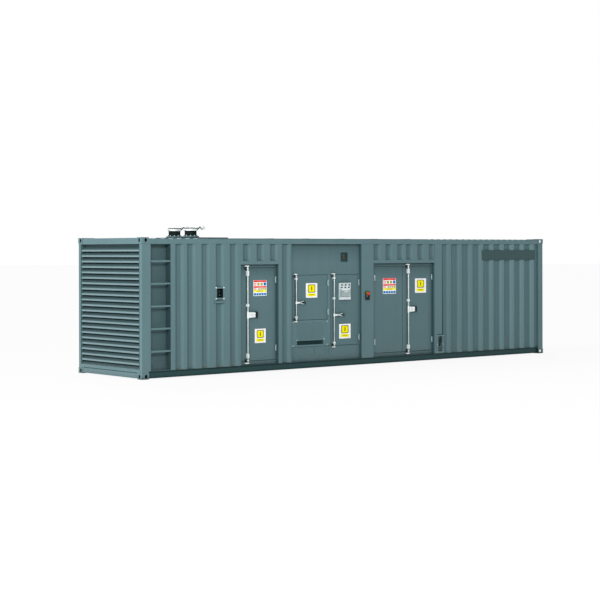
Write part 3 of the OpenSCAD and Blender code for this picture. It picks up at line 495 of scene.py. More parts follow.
def heat_black():
    """Heat-resistant paint that has faded, with a few rusty specks."""
    f = Finish("heat_black", roughness=0.7, specular=0.2)
    worn = f.ramp(f.noise(26.0, 5.0), 0.4, 0.75)
    burnt = f.ramp(f.noise(60.0, 4.0), 0.70, 0.80, 0.0, 0.4)
    colour = f.mix(burnt, f.mix(worn, srgb(9, 23, 24), srgb(26, 43, 44)), srgb(74, 56, 42))
    return f.finish(colour, None, [(f.noise(180.0, 3.0), 0.0005)])


def chequer_plate():
    """Dark floor plate with raised lozenges, seen through open doors."""
    f = Finish("chequer_plate", roughness=0.5, metallic=0.4)
    lozenges = f.math("ADD", f.dots(0.06, 0.013, "X", "Y"), f.dots(0.034, 0.008, "Y", "X"))
    worn = f.mix(f.noise(8.0, 4.0), srgb(58, 66, 67), srgb(92, 98, 96))
    return f.finish(f.mix(lozenges, worn, srgb(118, 124, 122)), None, [(lozenges, 0.0015)])


def perforated():
    """Perforated sheet over mineral wool, on the inner faces of the doors."""
    f = Finish("perforated_sheet", roughness=0.45, metallic=0.3)
    holes = f.dots(*HOLES)
    dull = f.mix(f.noise(20.0, 4.0), LINING, scaled(LINING, 0.85))
    return f.finish(f.mix(holes, dull, LINING_HOLE), None, [(f.times(holes, -1.0), 0.001)])


def brass():
    """Brass that has dulled in patches."""
    f = Finish("brass", roughness=0.3, metallic=0.9)
    dull = f.ramp(f.noise(50.0, 4.0), 0.4, 0.8)
    return f.finish(f.mix(dull, srgb(172, 124, 60), srgb(96, 66, 40)), None, [(f.noise(200.0), 0.0002)])


def lens():
    """A ribbed amber lens."""
    f = Finish("amber_lens", roughness=0.3, specular=0.2)
    rings = f.ramp(f.noise(120.0, 1.0), 0.3, 0.7)
    return f.finish(f.mix(rings, srgb(84, 60, 20), srgb(112, 76, 24)), None, [(rings, 0.0006)])


def film(name, r, g, b):
    return moulded(name, r, g, b, 0.4, 0.1)


# Painted shade: the walls darken with depth behind their outer faces, the louvre between its blades and the
# ladder recess behind the wall.
FRONT_DEPTH_SHADE = ("Y", -WALL_Y, ((0.022, 1.0), (0.034, 0.78), (0.044, 0.78), (0.060, 0.52)))
LOUVRE_DEPTH_SHADE = ("X", -low("louvre_blades").x, ((0.002, 1.0), (0.004, 0.62), (0.024, 0.46), (0.080, 0.22)))
RECESS_DEPTH_SHADE = ("Y", -WALL_Y, ((0.0, 1.0), (0.3, 0.9)))
DOOR_TOP = high("door_1_leaf").z
# Painted shade: the recessed leaves and bay wall get a darker green than the wall.
SHADED_DOOR_GREEN = scaled(GREY_GREEN, 0.90)
WALL = paint("wall_paint", GREY_GREEN, 0.12, 0.65, rusty=True, lined="Z", sunk=FRONT_DEPTH_SHADE)
ROOF = paint("roof_paint", GREY_GREEN, lined="Y")
PAINT = paint("frame_paint", GREY_GREEN, 0.12, 0.55)
PIER = paint("pier_paint", GREY_GREEN, 0.12, 0.55, sunk=FRONT_DEPTH_SHADE)
# Painted light: the louvre's green is lighter than the wall's, as on the lit end.
LOUVRE = paint("louvre_paint", srgb(122, 147, 152), 0.05, sunk=LOUVRE_DEPTH_SHADE)
# Painted shadow darkens the leaves below the door heads and the bay below the top rail.
DOOR = paint("door_paint", SHADED_DOOR_GREEN, 0.18, 0.4, under=(DOOR_TOP - 0.30, DOOR_TOP, 0.68))
BAY = paint("bay_paint", SHADED_DOOR_GREEN, 0.18, 0.4, under=(WALL_TOP - 0.42, WALL_TOP - 0.02, 0.70))
# Painted shade: the ladder recess is darker, more so deeper in and on its side that looks to the left end.
RECESS = paint("recess_paint", scaled(GREY_GREEN, 0.60), 0.05, 0.7, sunk=RECESS_DEPTH_SHADE, side=0.62)
# Painted shade: a darker green for the door reveals, also used for the band beside each lock bar and the end
# corner welds.
JAMB = paint("jamb_paint", scaled(GREY_GREEN, 0.72), 0.06, 0.35)
# Dark paint: the colour of the bay's sealant lines, and painted shade on the bottom rails, cross members and
# the line along each end sill.
DARK = paint("dark_paint", srgb(48, 77, 78), 0.1, 0.55, dusty=0.0)
PLATE = paint("name_plate_paint", srgb(62, 86, 88), 0.03, 0.8)
# Painted highlight: a paler green for the lip round the fuel box.
PALE = paint("edge_paint", scaled(GREY_GREEN, 1.45), 0.05, 0.8)
# Painted shade: the exhaust cover is dark, as its edge is in shade at the roof line.
COVER = paint("exhaust_cover_paint", srgb(44, 62, 63), 0.05, 0.8)
CAST = cast_paint()
ZINC = galvanised("galvanised", 0.98, 0.3, 0.6, (0.93, 1.0, 1.0))
HINGE = galvanised("hinge_zinc", 0.86, 0.1, 0.6, (0.76, 1.0, 1.05))
GUARD = galvanised("guard_zinc", 0.70, 0.2, 0.5, (0.84, 1.0, 1.0))
# Painted highlight: zinc at a level above one, so that it shows white.
BRIGHT = galvanised("bright_zinc", 1.58, 0.05, 0.9)
BLACK = moulded("black_plastic", 18, 30, 31, specular=0.2)
TEAL = moulded("teal_plastic", 50, 74, 76, specular=0.2)
RUBBER = moulded("rubber", 34, 60, 62, 0.75, 0.15)
BAR_SHADOW = moulded("painted_bar_shadow", 40, 62, 64, 0.75, 0.15)
RED = moulded("red_plastic", 224, 34, 26, 0.3)
RED_PALE = moulded("pale_red_plastic", 236, 120, 110, 0.3)
YELLOW = film("yellow_film", 255, 244, 4)
WHITE = film("white_film", 255, 255, 255)
SIGN_RED = film("red_film", 240, 26, 20)
PINK = film("pink_film", 244, 132, 130)
OLIVE = film("olive_film", 62, 60, 8)
OCHRE = film("ochre_film", 176, 164, 14)
BLUE = film("blue_film", 0, 122, 190)
GREY = moulded("grey_plastic", 218, 228, 230, 0.5)
GREY_SOFT = moulded("soft_grey_plastic", 160, 176, 176, 0.5)
GREY_MID = moulded("mid_grey_plastic", 176, 194, 196, 0.5)
GREY_DEEP = moulded("deep_grey_plastic", 104, 134, 140, 0.5)
HEAT = heat_black()
CHEQUER = chequer_plate()
BRASS = brass()
LENS = lens()
PERFORATED = perforated()

# ---- finishes of the CAD pieces ----

FINISHES = {
    CAST: "corner_castings",
    PAINT: "corner_posts top_side_rails end_rails bay_wall_posts cable_panel socket_box fuel_panel"
           " ladder_rungs",
    PIER: "wall_headers front_piers",
    WALL: "front_wall back_wall",
    ROOF: "roof",
    LOUVRE: "louvre_blades",
    DOOR: "door_1_leaf left_leaf right_leaf back_doors",
    BAY: "hatch_leaf breaker_door_leaf bay_wall",
    RECESS: "ladder_recess",
    JAMB: "door_frames",
    DARK: "bottom_side_rails cross_members",
    CHEQUER: "floor",
    BRIGHT: "back_door_fittings door_1_fittings hatch_fittings breaker_door_fittings"
            " right_leaf_fittings lock_keepers rain_cap_front rain_cap_back",
    HINGE: "left_leaf_hinges fixed_hinges",
    ZINC: "door_1_lock_bar hatch_lock_bar breaker_door_lock_bar right_leaf_lock_bar",
    BLACK: "stop_box",
    TEAL: "lamp_housing",
    RED: "stop_button",
    GREY: "breaker_unit",
    HEAT: "exhaust_outlets",
    COVER: "exhaust_cover",
}
EDGES = {"front_wall": 0.009, "back_wall": 0.009, "front_piers": 0.008, "roof": 0.006,
         "corner_castings": 0.006, "corner_posts": 0.005, "wall_headers": 0.004,
         "end_rails": 0.004, "top_side_rails": 0.004, "socket_box": 0.003, "louvre_blades": 0.0015,
         "exhaust_outlets": 0.0012, "stop_button": 0.0015, "floor": 0.0, "cross_members": 0.0}
FITTING_WORDS = ("fittings", "hinges", "lock_bar", "keepers", "rain_cap", "unit")
FITTING_EDGE, SHEET_EDGE = 0.001, 0.0025

for material, names in FINISHES.items():
    for name in names.split():
        obj = NODES[name]
        for holder in obj.material_slots:
            holder.material = material
        fitting = any(word in name for word in FITTING_WORDS)
        width = EDGES.get(name, FITTING_EDGE if fitting else SHEET_EDGE)
        if width:
            obj.modifiers.new("weld", "WELD").merge_threshold = 1e-5
            flat = obj.modifiers.new("flat_faces", "DECIMATE")
            flat.decimate_type = "DISSOLVE"
            flat.angle_limit = math.radians(0.6)
            round_edges(obj, width, 25)

# ---- signs and the bare name plate ----

SIGN_T = 0.002


def spot(x, y, z):
    """A point given by its distance from the left end."""
    return Vector((END_X + x, y, z))


def sign(name, body, centre, width, height, films, layers, panels=()):
    """A riveted white plate with plain films on it.

    Layers lists (thickness, rows), with rows of (left, right, top, bottom, material) in percent of
    the plate. Panels lists (share of the plate, thickness, material) of the film at its middle.
    """
    bm = bmesh.new()
    plate(bm, centre, width, height, SIGN_T, 0.006)
    face = centre + FRONT * SIGN_T
    for at in corners(width / 2 - 0.010, height / 2 - 0.010):
        screw(bm, face + at, FRONT, 0.0035)
    for share, thick, mat in panels:
        panel = face + UP * height * 0.13
        plate(bm, panel, width * share * 1.06, height * share * 0.92, thick, 0.045 * share, mat)
    for thick, rows in layers:
        for left, right, top, bottom, mat in rows:
            tall = (bottom - top) / 100 * height
            at = Vector((((left + right) / 200 - 0.5) * width, 0, (0.5 - (top + bottom) / 200) * height))
            plate(bm, face + at, (right - left) / 100 * width, tall, thick, min(0.006, tall / 4), mat)
    piece(name, bm, films, body)


# An edged yellow panel over a plain field
PLAIN = ([WHITE, YELLOW, OLIVE, OCHRE],
         ((0.0014, [(47, 54, 23, 50, 2)]), (0.0006, [(14, 86, 70, 90, 1)]), (0.0010, [(30, 70, 77, 82, 3)])),
         ((0.60, 0.0006, 2), (0.50, 0.0010, 1)))
# Rows of plain fields in several colours, with details on some of them
ROWS = ([WHITE, SIGN_RED, PINK, YELLOW, BLUE, OCHRE], (
    (0.0006, [(2, 98, 1, 12, 1), (4, 22, 16, 34, 2), (30, 46, 17, 34, 5), (54, 70, 17, 34, 5),
              (77, 96, 15, 34, 4), (2, 98, 38, 48, 1), (4, 22, 50, 62, 2), (36, 49, 51, 61, 5),
              (53, 64, 51, 61, 5), (68, 79, 51, 61, 5), (83, 96, 51, 61, 5), (2, 98, 63, 76, 3),
              (3, 20, 82, 97, 4), (23, 39, 82, 97, 4), (42, 58, 82, 97, 4), (61, 77, 82, 97, 4),
              (80, 97, 82, 97, 4)]),
    (0.0010, [(34, 66, 5, 8, 2), (40, 80, 42, 45, 2), (28, 70, 67, 72, 5), (9, 17, 21, 29, 0),
              (9, 17, 53, 59, 0)])))
sign("door_1_upper_sign", "door_1", spot(3.1175, LEAF_Y, 1.809), 0.362, 0.336, *ROWS)
sign("door_1_lower_sign", "door_1", spot(3.121, LEAF_Y, 0.776), 0.300, 0.306, *PLAIN)
sign("hatch_sign", "hatch", spot(4.5655, BAY_Y, 1.7305), 0.332, 0.323, *PLAIN)
sign("breaker_door_sign", "breaker_door", spot(5.5485, BAY_Y, 0.791), 0.344, 0.328, *PLAIN)
sign("left_leaf_sign", "double_door_left", spot(6.942, LEAF_Y, 1.790), 0.412, 0.360, *ROWS)
sign("right_leaf_sign", "double_door_right", spot(7.9465, LEAF_Y, 1.7835), 0.362, 0.338, *PLAIN)

NAME_AT, NAME_W, NAME_T = spot(10.928, WALL_Y, 2.4955), 1.944, 0.003
bm = bmesh.new()
plate(bm, NAME_AT, NAME_W, 0.245, NAME_T)
for i in range(7):
    for dz in (-0.108, 0.108):
        screw(bm, NAME_AT + Vector(((NAME_W - 0.040) * (i / 6 - 0.5), -NAME_T, dz)), FRONT)
piece("blank_name_plate", bm, [PLATE])

# ---- hinges, guides, keepers and catches ----

HINGE_PLATE, COAT = 0.008, 0.0012


def is_hinge(box):
    return size(box).y < 0.03


def is_guide(box):
    return size(box).y > 0.05


def outer(box, facing):
    """The middle of the box's outward face."""
    point = middle(box)
    point.y += facing.y * size(box).y / 2
    return point


def hinge_screws(bm, boxes, others, facing, painted=False):
    """Screws on the plates of a hinge, beside the knuckle that both halves share.

    A painted plate gets a coat, which is material 1, and its knuckle a sleeve, material 2.
    """
    for box in boxes:
        lo, hi = box
        tall = size(box).z
        centre = middle(box)
        partner = min(others, key=lambda other: (middle(other) - centre).length)
        start, end = max(lo.x, partner[0].x), min(hi.x, partner[1].x)
        left = lo.x < start - 0.002
        a, b = (lo.x, start) if left else (end, hi.x)
        wall = outer(box, -facing).y
        y = wall + facing.y * (HINGE_PLATE + COAT * painted)
        pin = Vector(((start + end) / 2, centre.y, 0))
        if painted:
            x0, x1 = (a - 0.001, b - 0.002) if left else (a + 0.002, b + 0.001)
            block(bm, (x0, y, lo.z - 0.001), (x1, wall, hi.z + 0.001), 1)
            r = (end - start) / 2
            foot = (pin.x, outer(box, facing).y - facing.y * r, lo.z)
            sleeve(bm, foot, r - 0.001, r + 0.0006, tall, 0.001, mat=2)
        rows = 1 if b - a < 0.03 else 2
        for row in range(rows):
            at = Vector((a + (b - a) * (row + 0.5) / rows, y, centre.z))
            for way in (-1, 1):
                screw(bm, at + UP * way * (tall / 2 - 0.011), facing, 0.0042)
        if tall > 0.1:
            for z, way in ((hi.z, UP), (lo.z, -UP)):
                lathe(bm, (pin.x, pin.y, z), way, [(7, 0), (7, 2), (4, 4), (0, 4)], 14, unit=MM)


def guide_plates(bm, boxes, facing):
    """A bolted clamp plate on each lock bar guide."""
    for box in boxes:
        wide, tall = size(box).x, size(box).z
        face = outer(box, facing)
        plate(bm, face, wide - 0.002, tall - 0.004, 0.003, 0.005, 0, facing)
        for at in corners(wide / 2 - 0.009, tall / 2 - 0.014, (-1, 1) if tall > 0.05 else (0,)):
            hex_bolt(bm, face + facing * 0.003 + at, facing, 0.0045)


def keeper_bolts(bm, boxes):
    """Two bolts on each keeper."""
    for box in boxes:
        for share in (0.14, 0.40):
            hex_bolt(bm, (box[0].x + size(box).x * share, middle(box).y, box[1].z), UP, 0.006)


LEAVES = {"door_1": ("door_1_leaf", "door_1_fittings"),
          "hatch": ("hatch_leaf", "hatch_fittings"),
          "breaker_door": ("breaker_door_leaf", "breaker_door_fittings"),
          "double_door_left": ("left_leaf", "left_leaf_hinges"),
          "double_door_right": ("right_leaf", "right_leaf_fittings")}
fixed = solids("fixed_hinges")

GUARD_TALL, GUARD_OUT, GUARD_FOOT, GUARD_HEAD = 0.136, 0.016, 0.024, 0.016
bm = bmesh.new()
for box in solids("left_leaf_hinges"):
    at = middle(box) + RIGHT * 0.042
    at.y = low("left_leaf").y
    half = [(GUARD_FOOT, 0.0), (GUARD_FOOT, 0.004), (GUARD_HEAD, GUARD_OUT)]
    outline = half + [(-a, b) for a, b in reversed(half)]
    prism(bm, outline, at + UP * GUARD_TALL / 2, RIGHT, FRONT, GUARD_TALL)
    for dz in (-0.048, 0.048):
        screw(bm, at + Vector((0, -GUARD_OUT, dz)), FRONT)
piece("left_leaf_hinge_guards", bm, [GUARD], "double_door_left", 0.0015)

for body, (leaf, fittings) in LEAVES.items():
    boxes = solids(fittings)
    bm = bmesh.new()
    hinge_screws(bm, [box for box in boxes if is_hinge(box)], fixed, FRONT, True)
    piece(body + "_hinge_screws", bm, [DOOR, DOOR, HINGE], body)
    guides = [box for box in boxes if is_guide(box)]
    if not guides:
        continue
    bm = bmesh.new()
    guide_plates(bm, guides, FRONT)
    piece(body + "_guide_plates", bm, [BRIGHT], body, 0.0012)
    # The moulded hood over the lever's catch
    tall, hood = (0.136, BLACK) if size(guides[0]).x > 0.040 else (0.064, TEAL)
    bm = bmesh.new()
    for box in boxes:
        wide, deep, high_side = size(box)
        if is_hinge(box) or abs(wide - high_side) > 0.001:
            continue
        wide += 0.010
        face = outer(box, FRONT) + RIGHT * 0.003
        plate(bm, face - FRONT * deep, wide, tall, deep + 0.002, 0.018)
        plate(bm, face + FRONT * 0.002, wide * 0.7, tall * 0.8, 0.003, 0.012)
        screw(bm, face + FRONT * 0.005, FRONT, 0.006)
    piece(body + "_catch_cover", bm, [hood], body, 0.004)

leaf_hinges = [box for _, node in LEAVES.values() for box in solids(node) if is_hinge(box)]
bm = bmesh.new()
hinge_screws(bm, fixed, leaf_hinges, FRONT)
piece("fixed_hinge_screws", bm, [ZINC])
bm = bmesh.new()
keeper_bolts(bm, solids("lock_keepers"))
piece("keeper_bolts", bm, [BRIGHT])

rear = solids("back_door_fittings")
rear_leaf = [box for box in rear if is_hinge(box) and size(box).z < 0.1]
rear_fixed = [box for box in rear if is_hinge(box) and size(box).z > 0.1]
bm = bmesh.new()
hinge_screws(bm, rear_leaf, rear_fixed, BACK)
hinge_screws(bm, rear_fixed, rear_leaf, BACK)
guide_plates(bm, [box for box in rear if is_guide(box)], BACK)
keeper_bolts(bm, [box for box in rear if size(box).z < 0.024])
piece("back_fitting_bolts", bm, [BRIGHT], bevel=0.001)

# ---- lock bars ----

BAR_R, SMALL_BAR_R = 0.017, 0.013
LEVER_HALF, LEVER_Z = 0.007, 1.235
FIT = 0.0005
LOCKS = (("door_1", "door_1_leaf", "door_1_lock_bar", BAR_R, LEVER_Z, 0.024),
         ("double_door_right", "right_leaf", "right_leaf_lock_bar", BAR_R, LEVER_Z, 0.024),
         ("hatch", "hatch_leaf", "hatch_lock_bar", SMALL_BAR_R, 1.467, 0.036),
         ("breaker_door", "breaker_door_leaf", "breaker_door_lock_bar", SMALL_BAR_R, 1.167, 0.020))


def bar_collars(bm, lo, hi, y, r, facing):
    """Round collars that keep a lock bar from sliding in its guides."""
    for z in (lo.z + 0.045, hi.z - 0.035):
        at = Vector((lo.x + r, y, z))
        sleeve(bm, at - UP * 0.008, r + FIT, r + 0.006, 0.016, 0.001)
        screw(bm, at + facing * (r + 0.0055), facing, 0.0035)


def wide_lever_cover(bm, x, y, reach, facing):
    """A folded cover plate on a door lever, with its latch tongue and rivets."""
    face = Vector((x + reach * 0.56, y, LEVER_Z))
    outline = [(-0.088, -0.060), (0.088, -0.048), (0.088, -0.026), (0.072, -0.014), (0.072, 0.014),
               (0.088, 0.026), (0.088, 0.048), (-0.088, 0.060)]
    prism(bm, outline, face, RIGHT, UP, -facing.y * 0.003)
    tongue = face + Vector((-0.005, facing.y * 0.003, 0))
    plate(bm, tongue, 0.072, 0.056, 0.005, 0.010, 1, facing)
    lathe(bm, tongue + facing * 0.005, facing, [(16, 0), (16, 3), (12, 5), (0, 5)], 24, unit=MM)
    for dx, dz in ((-0.070, 0.044), (-0.070, -0.044), (0.066, 0.040), (0.066, -0.040)):
        screw(bm, face + Vector((dx, facing.y * 0.003, dz)), facing, 0.0045)


for body, _, node, r, lever_z, _ in LOCKS:
    lo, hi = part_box(node)
    x, y = lo.x + r, (lo.y + hi.y) / 2
    face_y = y - LEVER_HALF
    bm = bmesh.new()
    bar_collars(bm, lo, hi, y, r, FRONT)
    if r == BAR_R:
        wide_lever_cover(bm, x, face_y, hi.x - x, FRONT)
        sleeve(bm, (x, y, lever_z - 0.078), r + FIT, r + 0.005, 0.156, 0.001)
    else:
        sleeve(bm, (x, y, lever_z - 0.032), r + FIT, r + 0.006, 0.064, 0.002)
        plate(bm, (x + 0.052, face_y, lever_z), 0.076, 0.038, 0.004, 0.006)
        for dx, head in ((0.036, 0.007), (0.070, 0.006)):
            hex_bolt(bm, (x + dx, face_y - 0.004, lever_z), FRONT, head, 1)
    piece(body + "_bar_trim", bm, [BRIGHT, GREY], body + "_bar", 0.0008)

# Painted shadow of each lock bar on its leaf: a dark strip to its left and a band of jamb paint to its
# right.
for body, leaf, node, *_, wide in LOCKS:
    lo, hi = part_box(leaf)
    x = low(node).x + 0.034
    z0, z1 = lo.z + 0.060, hi.z - 0.060
    bm = bmesh.new()
    block(bm, (x - wide, lo.y - 0.002, z0), (x, lo.y, z1))
    block(bm, (x + 0.024, lo.y - 0.001, z0), (x + 0.056, lo.y, z1), 1)
    piece(body + "_bar_shadow_strips", bm, [BAR_SHADOW, JAMB], body, 0.0004)

# Black blocks at the bar ends, on the leaf and on the frame, that stand in for the cams and the painted
# shade beside them.
CAM_OUT, CAM_GAP = 0.030, 0.008
frame_cam_shade_blocks = bmesh.new()
for body, leaf, node, r, *_ in LOCKS:
    wide, drop = (0.036, 0.036) if r == BAR_R else (0.032, 0.046)
    bar_lo, bar_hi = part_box(node)
    lo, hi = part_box(leaf)
    x = bar_lo.x - 0.006
    bm = bmesh.new()
    for leaf_z, end, way in ((hi.z, bar_hi.z, 1), (lo.z, bar_lo.z, -1)):
        edge = leaf_z - way * 0.001
        block(bm, (x - wide, lo.y - CAM_OUT, leaf_z - way * drop), (x, lo.y, edge))
        start = edge + way * CAM_GAP
        if way * (end - start) > 0.012:
            block(frame_cam_shade_blocks, (x - wide, lo.y - CAM_OUT, start), (x, lo.y, end))
    piece(body + "_cams_and_shade", bm, [BLACK], body, 0.003)
piece("frame_cams_and_shade", frame_cam_shade_blocks, [BLACK], bevel=0.003)

bm = bmesh.new()
for lo, hi in rear:
    if hi.z - lo.z > 1:
        y = (lo.y + hi.y) / 2
        bar_collars(bm, lo, hi, y, BAR_R, BACK)
        wide_lever_cover(bm, lo.x + BAR_R, y + LEVER_HALF, hi.x - lo.x - BAR_R, BACK)
piece("back_bar_trim", bm, [ZINC, GREY], bevel=0.0008)

# ---- door leaves: seals and inner linings ----

SEAL_IN, SEAL_OUT, LINING_T, RIB_T = 0.001, 0.0025, 0.002, 0.020
for body in ("door_1", "double_door_left", "double_door_right", "hatch", "breaker_door"):
    lo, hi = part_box(LEAVES[body][0])
    x0, x1, z0, z1 = lo.x + SEAL_IN, hi.x - SEAL_IN, lo.z + SEAL_IN, hi.z - SEAL_IN
    left, right, foot, head = lo.x - SEAL_OUT, hi.x + SEAL_OUT, lo.z - SEAL_OUT, hi.z + SEAL_OUT
    bm = bmesh.new()
    for xa, za, xb, zb in ((left, foot, right, z0), (left, z1, right, head),
                           (left, z0, x0, z1), (x1, z0, right, z1)):
        block(bm, (xa, lo.y + 0.010, za), (xb, hi.y - 0.012, zb))
    piece(body + "_seal", bm, [RUBBER], body, 0.001)
    bm = bmesh.new()
    wide, tall = hi.x - lo.x - 0.10, hi.z - lo.z - 0.10
    centre = outer((lo, hi), BACK)
    plate(bm, centre, wide, tall, LINING_T, 0.006, 0, BACK)
    count = 3 if tall > 1.7 else 2
    for i in range(count):
        rib = centre + Vector((0, LINING_T, tall * ((i + 0.5) / count - 0.5)))
        reach = Vector((wide / 2 - 0.03, 0, 0.03))
        block(bm, rib - reach, rib + reach + BACK * RIB_T, 1)
        for share in (-0.44, 0, 0.44):
            screw(bm, rib + Vector((wide * share, RIB_T, 0)), BACK, 0.006, 2)
    piece(body + "_inner_lining", bm, [PERFORATED, PAINT, ZINC], body, 0.0015)

# ---- the electrical bay ----

SEAM_X = 5.078
bay_lo, bay_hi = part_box("bay_wall")
seam_top = high("hatch_leaf").z + 0.012
bm = bmesh.new()
for z0, z1, seed in ((seam_top, bay_hi.z - 0.004, 3), (bay_lo.z + 0.004, 0.472, 4)):
    bead(bm, spot(SEAM_X, BAY_Y, z0), spot(SEAM_X, BAY_Y, z1), 0.0022, 0.01, seed)
plate(bm, spot(4.925, BAY_Y, 0.300), 0.21, 0.20, 0.002)
plate(bm, spot(4.530, BAY_Y, 0.8355), 0.780, 0.359, 0.004, 0.006)
piece("bay_seams", bm, [BAY], bevel=0.0008)
bm = bmesh.new()
block(bm, (bay_lo.x + 0.02, BAY_Y - 0.001, 0.4785), (bay_hi.x - 0.90, BAY_Y, 0.4865))
for x, wide in ((5.070, 0.007), (4.640, 0.006)):
    block(bm, spot(x, BAY_Y - 0.001, 0.300), spot(x + wide, BAY_Y, 0.470))
piece("bay_sealant", bm, [DARK])

bm = bmesh.new()
for x, z in ((4.140, 0.640), (4.930, 0.640), (5.022, 1.030), (4.030, 1.030), (4.030, 0.515), (5.022, 0.515)):
    hex_bolt(bm, spot(x, BAY_Y, z), FRONT, 0.006)
for at in corners(0.365, 0.154):
    screw(bm, spot(4.530, BAY_Y - 0.004, 0.836) + at, FRONT)
piece("bay_screws", bm, [BRIGHT])

# The cable slot's brushes, which meet halfway
SLOT_X0, SLOT_X1, SLOT_Z0, SLOT_Z1, HOLDER = 4.1415, 4.9085, 0.526, 0.617, 0.010
BRISTLES = 220
draw = random.Random(11)
bm = bmesh.new()
for z in (SLOT_Z1 - HOLDER, SLOT_Z0):
    block(bm, spot(SLOT_X0, BAY_Y + 0.028, z), spot(SLOT_X1, BAY_Y + 0.036, z + HOLDER))
for i in range(BRISTLES):
    x = SLOT_X0 + 0.003 + (SLOT_X1 - SLOT_X0 - 0.006) * i / (BRISTLES - 1)
    lean = draw.uniform(-0.004, 0.004)
    tip = draw.uniform(0.040, 0.046) - 0.010
    for root, way in ((SLOT_Z1 - HOLDER, -1), (SLOT_Z0 + HOLDER, 1)):
        foot = spot(x, BAY_Y + 0.032, root)
        tube(bm, [foot, foot + Vector((lean, 0, way * tip))], 0.0016, 4)
piece("cable_brush", bm, [RUBBER])

# The lamp: a bezel, four screws and a ribbed lens on its holder
lamp_lo, lamp_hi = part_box("lamp_housing")
lamp = middle((lamp_lo, lamp_hi))
face = Vector((lamp.x, lamp_lo.y + 0.032, lamp.z))
bm = bmesh.new()
plate(bm, face, 0.062, 0.094, 0.006, 0.014, 1)
for width, height, thick in ((0.046, 0.078, 0.010), (0.038, 0.068, 0.014), (0.026, 0.054, 0.017)):
    plate(bm, face, width, height, thick, 0.011)
for at in corners(0.085, 0.085):
    screw(bm, Vector((lamp.x, lamp_hi.y - 0.008, lamp.z)) + at, FRONT, 0.006, 2)
piece("lamp_lens", bm, [LENS, TEAL, ZINC], bevel=0.0015)

# The breaker unit: shrouded terminals, a framed front and a base rail
lo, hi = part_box("breaker_unit")
wide = hi.x - lo.x
unit = Vector(((lo.x + hi.x) / 2, lo.y + 0.018, 0))
front_z = lo.z + 0.152
bm = bmesh.new()


def unit_plates(x, z, rows):
    """Plates on the unit: rows lists (right, out, up, width, height, thickness, radius) in
    millimetres and the material."""
    for dx, out, dz, wide, tall, thick, radius, mat in rows:
        at = unit + Vector((x + dx * MM, -out * MM, z + dz * MM))
        plate(bm, at, wide * MM, tall * MM, thick * MM, radius * MM, mat)


for i in (-1, 0, 1):
    x = i * wide * 0.33
    unit_plates(x, hi.z, ((0, 0, -46, 88, 86, 14, 18, 0), (0, 14, -46, 52, 48, 1, 14, 6),
                          (0, 0, -104, 56, 30, 3, 9, 6)))
    unit_plates(x, lo.z, ((0, 0, 34, 94, 56, 10, 10, 0), (0, 10, 14, 32, 10, 1, 3, 1)))
    lathe(bm, unit + Vector((x, -0.015, hi.z - 0.042)), FRONT, [(9, 0), (9, 3), (0, 3)], 6, 3, MM)
    if i:
        unit_plates(x / 2, hi.z, ((0, 0, -20, 18, 40, 2, 4, 4),))
full = wide / MM
unit_plates(0, front_z, ((0, 0, 0, full - 8, 180, 4, 6, 5), (0, 4, 0, full - 60, 178, 4, 10, 4),
                         (-12, 18, -6, 222, 132, 4, 8, 5), (10, 22, 34, 140, 40, 4, 8, 1),
                         (10, 26, 34, 88, 16, 8, 5, 0), (-90, 22, 30, 14, 50, 3, 4, 4),
                         (96, 19, 20, 14, 86, 3, 4, 4)))
for at in corners(0.150, 0.070):
    screw(bm, unit + Vector((0, -0.004, front_z)) + at, FRONT, 0.005, 3)
materials = [GREY, GREY_MID, BLACK, ZINC, GREY_DEEP, GREY_SOFT, TEAL]
piece("breaker_unit_front", bm, materials, "breaker_door", 0.0016)

# ---- the emergency stop ----

lo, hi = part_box("stop_box")
button = middle(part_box("stop_button"))
box_x = (lo.x + hi.x) / 2
bm = bmesh.new()
plate(bm, (box_x - 0.014, lo.y, button.z + 0.010), 0.068, 0.056, 0.003, 0.006)
ring = [(16, 0), (31, 0), (33, 1), (31, 3.6), (16, 3.6)]
lathe(bm, (button.x, lo.y, button.z), FRONT, ring, 32, 2, MM)
plate(bm, (box_x - 0.028, lo.y, button.z - 0.052), 0.040, 0.013, 0.003, 0.003, 1)
plate(bm, (box_x, lo.y, lo.z + 0.032), 0.084, 0.048, 0.006, 0.008, 2)
for at in corners(0.046, 0.024):
    screw(bm, Vector((box_x, lo.y, lo.z + 0.036)) + at, FRONT, 0.004, 3)
piece("stop_box_plates", bm, [OCHRE, GREY_SOFT, BLACK, ZINC], bevel=0.0012)

bm = bmesh.new()
button.y = low("stop_button").y
mushroom = [(31.3, 0), (31.6, 10), (30, 16.5), (24, 21.2), (12, 23.6), (0, 24)]
lathe(bm, button - FRONT * 0.0205, FRONT, mushroom, 40, unit=MM)
for i in range(3):
    turn = 2 * math.pi * i / 3 + 0.4
    at = button + Vector((0.017 * math.cos(turn), -0.0015, 0.017 * math.sin(turn)))
    plate(bm, at, 0.010, 0.004, 0.0016, 0.0015, 1)
piece("stop_button_cap", bm, [RED, RED_PALE], "stop_button")

# ---- socket box and fuel connection box ----

